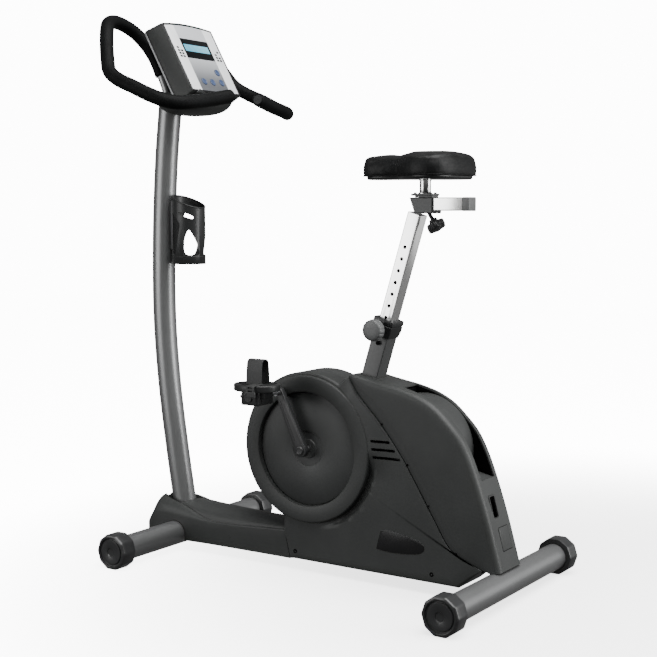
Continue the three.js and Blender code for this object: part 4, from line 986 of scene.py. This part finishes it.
# ---------- seat ----------
def seat_parts():
    place = seat_frame()
    post = slab(box_outline(40, 40, 4.5), -330, 287, (0.5, 0.5), "xy")
    bore = slab(box_outline(36, 36, 3), -331, 270, plane="xy")
    holes = [moved(turned([(0, -8), (5, -8), (5, 8), (0, 8)], 32), (0, -20, (6 - i) * HOLE_PITCH), (1, 0, 0),
                   (0, 0, 1), (0, 1, 0))
             for i in range(11)]
    post = carve(post, bore, *holes)
    piece("seat_upright", moved(post, *place), BRIGHT, "seat_support", ["seat_post"])
    sleeve = carve(
        slab(box_outline(50, 50, 4), -610, -8, (0.6, 0.8), "xy"),
        slab(box_outline(44.6, 44.6, 2.5), -620, 10, plane="xy"),
    )
    piece("sleeve", moved(sleeve, *place), SLEEVE, "frame", ["seat_sleeve"])
    collar_rings = []
    for x, y, s, r in ((26.6, 26.4, -52, 2), (27.2, 27, -51, 3), (29.8, 29.4, -38, 4), (31, 30.5, -32, 5),
                       (31, 30.5, -21, 5),
                       (29.9, 29.4, -20, 5), (29.9, 29.4, -18, 5), (31, 30.5, -17, 5), (31, 30.5, -6.5, 5),
                       (30.2, 29.7, -4.6, 5),
                       (28.4, 28, -4, 4)):
        flat = box_outline(2 * x, 2 * y, r, steps=6)
        collar_rings.append(np.column_stack([flat, np.full(len(flat), s)]))
    collar = carve(
        skin(collar_rings),
        slab(box_outline(50.6, 50.6, 4), -90, -7.6, plane="xy"),
        slab(box_outline(41.2, 41.2, 4), -90, 20, plane="xy"),
    )
    lug = slab(box_outline(15, 11, 3, 0, -14.5), -36.5, -29, (1.5, 0))
    piece("collar", moved(joined(collar, lug), *place), DARK, "frame", ["sleeve_collar"])
    knob = [(0, -54), (23, -54, 0), (27, -54.6, 0.3), (28.6, -57, 0.8), (29.3, -62, 1), (29.3, -70, 1),
            (28.6, -74.5, 0.8),
            (27.4, -77.6, 0.4), (25, -79.7, 0.1), (21, -81, 0), (12, -81.8, 0), (0, -82, 0)]

    def scallop(a):
        return -0.055 * (0.5 + 0.5 * np.cos(14 * a)) ** 3

    stem = turned_y([(0, -55), (6.6, -55), (6.6, -27), (6, -26.5), (0, -26.5)], 0, -HOLE_PITCH, 36)
    head = turned_y(knob, 0, -HOLE_PITCH, 168, wave=scallop)
    flange = turned_y([(0, -54.5), (13, -54.5), (13, -50), (9, -46), (0, -46)], 0, -HOLE_PITCH, 48)
    piece("pull_knob", moved(joined(head, stem, flange), *place), GREY, "post_knob",
          ["post_pull_knob"])
    screw_head = turned_y([(0, -29), (6, -29), (6.4, -31), (5.4, -33.4), (3, -34.2), (0, -34.4)], 3, -70, 32)
    piece("sleeve_screw", moved(screw_head, *place), BLACK_AND_PAINTED_SHADE, "frame")


def carriage_parts():
    outline = [(259, 989.6), (313, 989.6), (313, SLIDER_TOP), (244, SLIDER_TOP)]
    channel = slab(fillet(outline, 1.6, 4), -23.5, 23.5, (1.0, 1.0))
    cheek = fillet(inset(np.array(outline, float), 3.0), 1.6, 4)
    cheeks = joined(slab(cheek, -24.4, -22), slab(cheek, 22, 24.4))
    trough = slab(box_outline(40, SLIDER_TOP - 996 + 40, 1.5, 0, 996 + 37.5), 200, 400, plane="yz")
    piece("slide_channel", carve(channel, trough), DARK, "seat_support", ["seat_bracket"])
    piece("slide_cheeks", cheeks, GREY, "seat_support")
    middle, high = (SLIDER_TOP + SLIDER_BOTTOM) / 2, SLIDER_TOP - SLIDER_BOTTOM
    slider = carve(
        slab(box_outline(39, high, 3, 0, middle), 258, 396, (0.5, 0.5), "yz"),
        slab(box_outline(35, high - 4, 1.5, 0, middle), 250, 410, plane="yz"),
    )
    piece("slide_rail", slider, BRIGHT, "saddle_carriage", ["seat_slider"])
    plug = joined(
        slab(box_outline(40.4, high + 1.4, 4, 0, middle), 396.3, 416.3, (0.8, 2.5), "yz"),
        slab(box_outline(34, high - 5, 2, 0, middle), 381, 397, (1, 0), "yz"),
    )
    piece("rail_plug", plug, GREY, "saddle_carriage", ["slider_end_cap"])
    plate = slab(box_outline(62, 44, 3, COLUMN_X, 0), SLIDER_TOP + 4.5, SLIDER_TOP + 10, (0.8, 0.8), "xy")
    pad = slab(box_outline(52, 36, 3, COLUMN_X + 4, 0), SLIDER_TOP + 0.3, SLIDER_TOP + 5, plane="xy")
    bolts = []
    for dx in (-22, 22):
        for dy in (-14, 14):
            head = turned([(0, SLIDER_TOP + 9.5), (4.6, SLIDER_TOP + 9.5), (4.6, SLIDER_TOP + 12),
                           (3.6, SLIDER_TOP + 13), (0, SLIDER_TOP + 13)], 6)
            bolts.append(moved(head, (COLUMN_X + dx, dy, 0)))
    z0, z1 = SLIDER_TOP + 9.6, SADDLE_BOTTOM - 9
    column = turned([(0, z0), (18.5, z0), (18.5, z0 + 2), (16, z0 + 3.4), (15, z0 + 5.5), (15, z1 - 3),
                     (16.5, z1 - 2), (16.5, z1), (0, z1)], 64)
    stem = moved(column, (COLUMN_X, 0, 0))
    piece("saddle_stem", stem, BRIGHT, "saddle_carriage", ["saddle_column"])
    piece("stem_flange", joined(plate, pad, *bolts), GREY, "saddle_carriage")
    lean = math.atan2(17, 26)
    s, c = -math.sin(lean), math.cos(lean)
    here = ((307, 0, 964), (c, 0, -s), (0, 1, 0), (s, 0, c))
    star = [(0, -19), (14, -19, 0), (18.6, -18.2, 0.5), (22, -16, 0.9), (23, -12, 1), (23, -3, 1),
            (22, 0.6, 0.9),
            (18.6, 2.4, 0.5), (14, 3.2, 0.1), (12, 5, 0), (10.5, 12, 0), (0, 12, 0)]
    lobes = turned(star, 144, wave=lambda a: 0.15 * np.cos(6 * a))
    bolt = turned([(0, 9), (5.2, 9), (5.2, 31), (4.4, 32), (0, 32)], 32)
    cup = turned([(0, -20), (8.5, -20), (9, -19), (8, -18), (0, -17.5)], 40)
    piece("star_knob", moved(joined(lobes, bolt, cup), *here), DARK, "star_knob",
          ["saddle_star_knob"])


# ---------- saddle ----------
SADDLE_HALF = [(97, 0), (104, 26), (128, 42), (176, 48), (222, 66), (262, 100), (310, 120), (362, 112),
               (388, 70), (394, 0)]
SADDLE_PLAN = even(
    curve_through([(x, -y) for x, y in SADDLE_HALF] + SADDLE_HALF[-2:0:-1], 16, closed=True), 241
)[:-1]


def saddle_rings(drawn, height):
    """Plan outline drawn in by a distance, at a height."""
    return np.column_stack([inset(SADDLE_PLAN, drawn), np.full(len(SADDLE_PLAN), float(height))])


def crowned(points, start=SADDLE_TOP - 16.0):
    """Top pulled to a nose lobe and a broad rear lobe with a shallow dip where they meet."""
    x, y, z = points.T
    share = np.clip((z - start) / (SADDLE_TOP - start), 0, 1)
    dip = 4.6 * np.exp(-(((x - 216) / 26) ** 2)) + 1.8 * np.exp(-((y / 20) ** 2)) * smooth_step((x
        - 150) / 120)
    nose = 7.0 * smooth_step((246 - x) / 30)
    flank = 11.0 * (y / 118) ** 2
    crease = np.exp(-(((x - 240) / 6.0) ** 2))
    dip = dip + 3.0 * crease
    y = y * (1 - 0.085 * crease)
    return np.column_stack([x, y, z - share * (dip + nose + flank) + share * 1.2])


def saddle_pad():
    """Loft of the plan: bottom edge, bulging side, rounded shoulder and a gridded top."""
    profile = [(3.2, SADDLE_BOTTOM + 0.4), (1.0, SADDLE_BOTTOM + 2.4), (0.4, SADDLE_BOTTOM + 8)]
    profile += [(0.0, SADDLE_BOTTOM + 16), (0.4, SADDLE_BOTTOM + 26), (1.6, SADDLE_TOP - 29),
                (3.4, SADDLE_TOP - 23)]
    for a in np.linspace(0.15, 1, 8) * math.pi / 2:
        profile.append((3.6 + 21 * (1 - math.cos(a)), SADDLE_TOP - 22 + 20.5 * math.sin(a)))
    rings = [saddle_rings(d, z) for d, z in profile]
    last = rings[-1]
    spine = last.copy()
    spine[:, 1] *= 0.02
    spine[:, 0] = 150 + (spine[:, 0] - 97) * (345 - 150) / 297
    for k in np.linspace(0.12, 1, 8):
        ring = last * (1 - k) + spine * k
        ring[:, 2] = SADDLE_TOP - 1.5 + 1.5 * math.sin(k * math.pi / 2)
        rings.append(ring)
    floor = rings[0] * (0.5, 0.5, 1) + (127, 0, 0)
    rings = [floor, *rings]
    points, faces = skin(rings)
    return crowned(points), faces


def puffed(shape, cap=4.5, pressure=4.0, frames=20):
    """Vinyl drawn over the foam: a cloth pass with pressure inside, capped in how far it moves."""
    points, faces = shape
    mesh = bpy.data.meshes.new("vinyl_pass")
    mesh.from_pydata((np.asarray(points) * 0.001).tolist(), [], faces)
    cleaned(mesh, 2e-6)
    obj = bpy.data.objects.new("vinyl_pass", mesh)
    bpy.context.scene.collection.objects.link(obj)
    remesh = obj.modifiers.new("even_faces", "REMESH")
    remesh.mode, remesh.voxel_size = "VOXEL", 0.0042
    depsgraph = bpy.context.evaluated_depsgraph_get()
    even_mesh = bpy.data.meshes.new_from_object(obj.evaluated_get(depsgraph))
    obj.modifiers.clear()
    obj.data = even_mesh
    bpy.data.meshes.remove(mesh)
    count = len(even_mesh.vertices)
    rest = np.zeros(count * 3)
    even_mesh.vertices.foreach_get("co", rest)
    rest = rest.reshape(-1, 3)
    group = obj.vertex_groups.new(name="held")
    low = np.nonzero(rest[:, 2] < (SADDLE_BOTTOM + 3) * 0.001)[0]
    group.add(low.tolist(), 1.0, "REPLACE")
    cloth = obj.modifiers.new("cloth", "CLOTH")
    settings = cloth.settings
    settings.quality, settings.mass = 4, 0.4
    settings.tension_stiffness = settings.compression_stiffness = 12
    settings.bending_stiffness = 2
    settings.use_pressure, settings.uniform_pressure_force = True, pressure
    settings.vertex_group_mass = "held"
    settings.effector_weights.gravity = 0
    cloth.collision_settings.use_collision = False
    cloth.point_cache.frame_start, cloth.point_cache.frame_end = 1, frames
    for step in range(1, frames + 1):
        bpy.context.scene.frame_set(step)
    depsgraph = bpy.context.evaluated_depsgraph_get()
    blown = obj.evaluated_get(depsgraph).to_mesh()
    after = np.zeros(count * 3)
    blown.vertices.foreach_get("co", after)
    after = after.reshape(-1, 3)
    bpy.context.scene.frame_set(1)
    shift = after - rest
    length = np.linalg.norm(shift, axis=1, keepdims=True)
    shift *= np.minimum(1, cap * 0.001 / np.maximum(length, 1e-9))
    quads = [list(p.vertices) for p in even_mesh.polygons]
    bpy.data.objects.remove(obj)
    bpy.data.meshes.remove(even_mesh)
    return (rest + shift) * 1000, quads


def saddle():
    pad = saddle_pad()
    pad = puffed(pad)
    pad[0][:, 2] = np.clip(pad[0][:, 2], SADDLE_BOTTOM + 0.2, SADDLE_TOP + 3)
    obj = piece("saddle_cushion", pad, VINYL, "saddle_carriage", ["saddle_pad"], sharp=80)
    finer = obj.modifiers.new("finer", "SUBSURF")
    finer.levels = finer.render_levels = 1
    rings = [np.column_stack([inset(SADDLE_PLAN, d), np.full(len(SADDLE_PLAN), z)]) for d, z in (
        (26, 1077.4), (16, 1077.4), (13, 1078), (11, 1080), (10, 1083), (10, 1085.7), (12, 1086.2),
        (26, 1086.2))]
    piece("saddle_pan", skin(rings), DARK, "saddle_carriage", ["saddle_base"])
    line = np.column_stack([inset(SADDLE_PLAN, 1.0), np.full(len(SADDLE_PLAN), SADDLE_BOTTOM + 1.8)])
    a = np.arange(10) * FULL / 10
    side = np.column_stack([unit(SADDLE_PLAN - inset(SADDLE_PLAN, 1.0)), np.zeros(len(line))])
    loop = line[:, None] + 1.3 * (np.cos(a)[None, :, None] * side[:, None] + np.sin(a)[None, :,
        None] * np.array([0, 0, 1.0]))
    piece("saddle_welt", skin(loop, "joined"), VINYL, "saddle_carriage")


# ---------- handlebars ----------
BAR = [
    (-584, 15.2, 1290), (-580, 15.3, 1332), (-598, 20, 1390), (-623, 28, 1449), (-645, 50, 1492),
    (-659, 85, 1520),
    (-660, 145, 1534), (-646, 190, 1524), (-627, 218, 1500), (-608, 240, 1460), (-585, 262, 1415),
    (-560, 281, 1378),
    (-516, 292, 1352), (-466, 294, 1332), (-412, 288, 1308), (-372, 279, 1293), (-346, 257, 1286),
    (-330, 228, 1287),
    (-321, 150, 1298), (-310, 62, 1314),
]


def handlebars():
    for side, sign in (("left", -1), ("right", 1)):
        line = even(curve_through(np.array(BAR) * (1, sign, 1), 20), 900)
        total = travelled(line)[-1]
        bar = tube(along(line, np.linspace(0, total - 4, 500)), BAR_R, 40, (1, 1), 8)
        node = f"{side}_handlebar_tube"
        piece(f"{side}_bar", bar, PAINT, "frame", [node])
        grip = tube(along(line, np.linspace(total * 0.1, total, 700)), GRIP_R, 56, (4, 5), 5,
                    bore=BAR_R + 0.4)
        piece(f"{side}_grip", grip, FOAM, "frame", [f"{side}_foam_grip"])
        end = line[-1]
        out = unit(line[-1] - line[-8])
        plug = turned([(0, -6), (BAR_R + 0.8, -6), (BAR_R + 0.8, -0.6), (BAR_R - 0.4, 0.2), (0, 0.5)], 48)
        flat = unit(np.cross(out, (0, 0, 1)))
        piece(f"{side}_bar_plug", moved(plug, end - out * 0.6, flat, np.cross(out, flat), out), DARK,
              "frame")


# ---------- console ----------
def console():
    """Shell with a crowned top, chamfered back edges and a silver line round them; dark
    bezel; silver panel with its window, keys and round buttons."""
    place = console_frame()
    half, low, high, crown = 111.0, 8, 244, 9.5
    depth, back_rise = 74, 0.07
    top = [(y, high - crown * (y / half) ** 2) for y in np.linspace(half, -half, 25)]
    outline = fillet([(-half, low), (half, low), *top], [5, 5, 5, *[0] * 23, 5], 6)
    outline = tidy(outline)

    def ring(drawn, x):
        flat = inset(outline, drawn) * (1, 1 + back_rise * min(1, max(0, -x / depth)))
        return np.column_stack([np.full(len(flat), x), flat])

    shell_rings = [ring(d, x) for d, x in (
        (20, -74), (11, -73.6), (9.4, -72.8), (8.2, -71.2), (1.2, -62), (0.2, -59.6), (0, -56), (0, -3),
        (0.4, -1.4),
        (1.4, -0.2), (2.6, 0.2), (6, 0.2), (6, -3), (20, -3))]
    bowl_x, bowl_z, bowl_long, bowl_wide, bowl_deep = -493, 1318, 100, 104, 48
    around = np.arange(96) * FULL / 96
    power = 2 / 2.7
    cx, cy = (np.sign(f(around)) * np.abs(f(around)) ** power for f in (np.cos, np.sin))
    rings = []
    for a in np.linspace(0, math.pi, 64)[::2]:
        r = abs(math.sin(a)) ** 0.72
        drop = bowl_deep * math.cos(a) * (1 if a < math.pi / 2 else 0.5)
        level = np.full(96, bowl_z - drop)
        rings.append(np.column_stack([bowl_x + bowl_long * r * cx, bowl_wide * r * cy, level]))
    bowl = skin(rings, "poles")
    foot = moved(skin(shell_rings), *place)
    # The bowl is kept behind the panel's face.
    behind = moved(slab([(-4, -400), (300, -400), (300, 400), (-4, 400)], -300, 300), *place)
    mast_hole = tube(MAST_LINE[60:], MAST_R + 1.5, 48, (0.5, 0.5), 20)
    bowl = carve(bowl, behind, mast_hole)
    piece("console_case", joined(foot, bowl), HOUSING, "frame", ["console_rear_shell"], sharp=30)
    trim = carve(
        skin([ring(d, x) for d,
              x in ((7.6, -72.4), (7.2, -72.8), (4.6, -69.4), (0.7, -64.4), (0.4, -63.2), (1.4, -63.6))],
              "joined"),
    )
    piece("console_trim", moved(trim, *place), TRIM, "frame")
    bezel = slab(inset(outline, 1.2), -2, 2.3, (0, 1.4), "yz")
    near, far, panel_low, panel_high, panel_crown = -105, 103, 15, 235.5, 8.5
    panel_top = [(y, panel_high - panel_crown * (y / half) ** 2) for y in np.linspace(far, near, 21)]
    corners = [(near, panel_low), (far, panel_low), *panel_top]
    panel_out = fillet(corners, [3, 3, 3, *[0] * 19, 3], 5)
    panel_out = tidy(panel_out)
    bezel = carve(bezel, slab(panel_out, -10, 10, plane="yz"))
    screen = box_outline(125, 66, 1.5, 0, 156)
    places = [(44, 82), (-36, 46), (2, 46), (44, 48)]
    wells = [slab(circle(11.3, 40, y, z), -10, 10, plane="yz") for y, z in places]
    panel = carve(slab(inset(panel_out, 0.35), -2, 1.9, (0, 0.3), "yz"), slab(screen, -10, 10, plane="yz"),
                  *wells)
    piece("console_bezel", moved(bezel, *place), GLOSS, "frame")
    piece("console_panel", moved(panel, *place), PANEL, "frame", ["console_front_panel"])
    glass = slab(inset(screen, 0.4), -1.6, 1.5, (0, 0.5), "yz")
    piece("console_window", moved(glass, *place), DISPLAY, "frame", ["display_window"])
    keys = []
    for start, shift in ((-94, 0), (72, 4)):
        for row in range(4):
            for column in range(2):
                if (row + column + (start > 0)) % 5 == 4:
                    continue
                y, z = start + 6 + 13 * column, 126 + shift * 0.4 + 9.6 * row
                keys.append(slab(box_outline(9.5, 6.4, 2, y, z), 1.5, 2.4, (0, 0.5), "yz", 3))
    piece("console_keys", moved(joined(*keys), *place), GLOSS, "frame")
    for i, (y, z) in enumerate(places):
        cap = [(0, -1.3), (10.6, -1.3), (10.6, 2.2), (10.1, 3.2), (8.8, 3.8), (7.6, 3.4), (0, 2.6)]
        cap = moved(turned(cap, 48), (0, y, z), (0, 1, 0), (0, 0, 1), (1, 0, 0))
        node = f"console_button_{i + 1}"
        piece(f"console_push_{i + 1}", moved(cap, *place), BLUE, f"button_{i + 1}", [node])
    wedge = slab([(-104, 0.5), (-80, 15), (-62, 0.5)], -1, 8, (0, 2), "yz")
    piece("console_foot_wedge", moved(wedge, *place), DARK, "frame")


# ---------- bottle cage ----------
def bottle_cage():
    """Thin round wall with smooth-edged windows: an arch on each side of the front strap, a
    window in each flank and a crescent under the slanted band."""
    wall = turned([(CAGE_R - 3.5, 0), (CAGE_R - 0.8, 0), (CAGE_R, 1), (CAGE_R, CAGE_H),
                   (CAGE_R - 3.5, CAGE_H)], 160, "joined")
    floor = turned([(0, 0.4), (CAGE_R - 1, 0.4), (CAGE_R - 1, 3.4), (0, 3.4)], 96)
    slant = slab([(-90, 219), (70, 155), (70, 320), (-90, 320)], -90, 90)
    windows = []
    arch = curve_through([(-23, 30), (0, 26), (21, 30), (22, 62), (8, 100), (-6, 82), (-18, 56)], 8,
                         closed=True)
    flank = curve_through([(24, 28), (0, 27), (-12, 60), (-19, 96), (-20, 122), (0, 140), (24, 150),
                           (26, 90)], 8, closed=True)
    crescent = curve_through([(24, 151), (8, 141), (-20, 133), (-22, 137.5), (0, 149)], 8, closed=True)
    for mirror in (1, -1):
        for outline, degrees in ((arch, 42), (flank, 112), (crescent, 62)):
            tool = slab(outline * (mirror, 1), 20, 90, plane="yz")
            a = math.radians(mirror * degrees)
            windows.append(moved(tool, (0, 0, 0), (math.cos(a), math.sin(a), 0),
                                 (-math.sin(a), math.cos(a), 0)))
    shape = carve(wall, slant, *windows)
    # Rolled edge round the slanted top, and a bracket to the mast.
    a = np.arange(160) * FULL / 160
    x = (CAGE_R - 1.7) * np.cos(a)
    line = np.column_stack([x, (CAGE_R - 1.7) * np.sin(a), 183 - 0.4 * x - 1.2])
    b = np.arange(12) * FULL / 12
    side = np.column_stack([np.cos(a), np.sin(a), 0 * a])
    bead = line[:, None] + 2.6 * (np.cos(b)[None, :, None] * side[:, None] + np.sin(b)[None, :,
        None] * np.array([0, 0, 1.0]))
    foot_bead = np.column_stack([x, line[:, 1], 22 + 0 * a])[:, None] + 2.1 * (
        np.cos(b)[None, :, None] * side[:, None] + np.sin(b)[None, :, None] * np.array([0, 0, 1.0]))
    clamp = slab(box_outline(13, 34, 3, -52, 0), 40, 186, (2, 2), "xy")
    cage = joined(shape, floor, skin(bead, "joined"), skin(foot_bead, "joined"), clamp)
    piece("bottle_holder", moved(cage, (CAGE_X, 0, CAGE_Z)), DARK, "frame", ["bottle_cage"],
          sharp=40)


def carried_nodes():
    """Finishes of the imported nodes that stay."""
    given = {
        "frame_beam": PAINT, "crank_support": PAINT, "flywheel_bracket": PAINT, "brake_magnet_carrier": IRON,
        "flywheel": IRON, "flywheel_axle": STEEL, "flywheel_pulley": STEEL, "crank_axle": STEEL,
        "drive_pulley": GREY,
        "drive_belt": RUBBER, "left_crank_bearing": STEEL, "right_crank_bearing": STEEL,
        "left_pedal_axle": STEEL,
        "right_pedal_axle": STEEL, "power_inlet": BLACK_AND_PAINTED_SHADE,
    }
    for name, finish in given.items():
        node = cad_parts[name]
        node.data.materials.clear()
        node.data.materials.append(finish)


FLOOR_HALF = 9.0
PAINTED_SHADOW_SPOT = (0.75, 0.3)  # middle of a painted shadow on the floor: the floor's glow is lowest here
AIR_SEEN, AIR_FELT = 13.0, 0.2  # the air's strength to the camera, and as a light
VIEW_YAW, VIEW_PITCH = math.radians(33.78), math.radians(5.246)
VIEW_SPOT = (2.01626, -2.969, 1.002)
VIEW_REACH = 1305 / 657  # the lens's length in widths of the picture
SENSOR = 36


def room():
    """Pale floor with a soft glow of its own, dimmed round one spot as a painted shadow, bright air, four
    soft lamps and the camera.
    """
    mesh = bpy.data.meshes.new("studio_floor")
    n = FLOOR_HALF
    mesh.from_pydata([(-n, -n, 0), (n, -n, 0), (n, n, 0), (-n, n, 0)], [], [(0, 1, 2, 3)])
    floor = bpy.data.objects.new("studio_floor", mesh)
    bpy.context.scene.collection.objects.link(floor)
    pale = Finish("studio_floor_paint", Specular_IOR_Level=0.1, Roughness=0.95, Emission_Strength=9.0)
    pale.feed("Base Color", pale.mix(pale.noise(3.0), (0.9, 0.9, 0.9, 1), (0.92, 0.92, 0.92, 1)))
    # Painted shadow: the floor's own glow is dimmed round this spot to stand for the bike's shadow on the
    # floor.
    across, ahead = pale.axis("X") - PAINTED_SHADOW_SPOT[0], pale.axis("Y") - PAINTED_SHADOW_SPOT[1]
    far = (across * across + ahead * ahead).ramp(0.0, 4.5)
    glow = pale.mix(far, (0.26, 0.26, 0.26, 1), (1.4, 1.4, 1.4, 1))
    pale.feed("Emission Color", glow)
    mesh.materials.append(pale.material)
    floor.visible_glossy = floor.visible_diffuse = False
    world = bpy.data.worlds.new("studio_air")
    world.use_nodes = True
    tree = world.node_tree
    seen, felt = tree.nodes["Background"], tree.nodes.new("ShaderNodeBackground")
    seen.inputs["Color"].default_value = felt.inputs["Color"].default_value = (1, 1, 1, 1)
    seen.inputs["Strength"].default_value = AIR_SEEN
    felt.inputs["Strength"].default_value = AIR_FELT
    path, either = tree.nodes.new("ShaderNodeLightPath"), tree.nodes.new("ShaderNodeMixShader")
    tree.links.new(path.outputs["Is Camera Ray"], either.inputs[0])
    tree.links.new(felt.outputs[0], either.inputs[1])
    tree.links.new(seen.outputs[0], either.inputs[2])
    tree.links.new(either.outputs[0], tree.nodes["World Output"].inputs["Surface"])
    bpy.context.scene.world = world
    for name, spot, aim, size, power in (
        ("overhead", (1.4, -0.5, 4.0), (0.2, 0, 0), (3.8, 3.6), 430),
        ("left_panel", (-2.0, -3.3, 1.3), (0.1, 0, 0.85), (2.4, 2.3), 85),
        ("right_panel", (3.4, 1.2, 1.5), (0.1, 0, 0.5), (1.4, 2.4), 135),
        ("rear_panel", (2.3, 2.9, 0.7), (0.2, 0, 0.8), (2.0, 1.4), 7),
    ):
        lamp = bpy.data.lights.new(name, "AREA")
        lamp.shape, lamp.size, lamp.size_y, lamp.energy = "RECTANGLE", *size, power
        obj = bpy.data.objects.new(name, lamp)
        bpy.context.scene.collection.objects.link(obj)
        obj.visible_camera = False
        look(obj, spot, aim)
    lens = bpy.data.cameras.new("view_lens")
    lens.sensor_width, lens.lens = SENSOR, VIEW_REACH * SENSOR
    lens.clip_start, lens.clip_end = 0.05, 100
    eye = bpy.data.objects.new("view_camera", lens)
    bpy.context.scene.collection.objects.link(eye)
    level = math.cos(VIEW_PITCH)
    sight = np.array([-math.sin(VIEW_YAW) * level, math.cos(VIEW_YAW) * level, -math.sin(VIEW_PITCH)])
    spot = np.array(VIEW_SPOT)
    look(eye, spot, spot + sight)
    bpy.context.scene.camera = eye


def look(obj, spot, aim):
    """Places a lamp or the camera, its local -Z towards the aim and its local Y upwards."""
    back = unit(np.array(spot, float) - np.array(aim, float))
    right = unit(np.cross((0, 0, 1), back))
    axes = np.column_stack([right, np.cross(back, right), back])
    matrix = Matrix(axes.tolist()).to_4x4()
    matrix.translation = spot
    obj.matrix_world = matrix


room()
stabilisers()
mast()
base_cover()
housing()
spine_details()
crank_parts()
seat_parts()
carriage_parts()
saddle()
handlebars()
console()
bottle_cage()
carried_nodes()

bpy.context.view_layer.update()
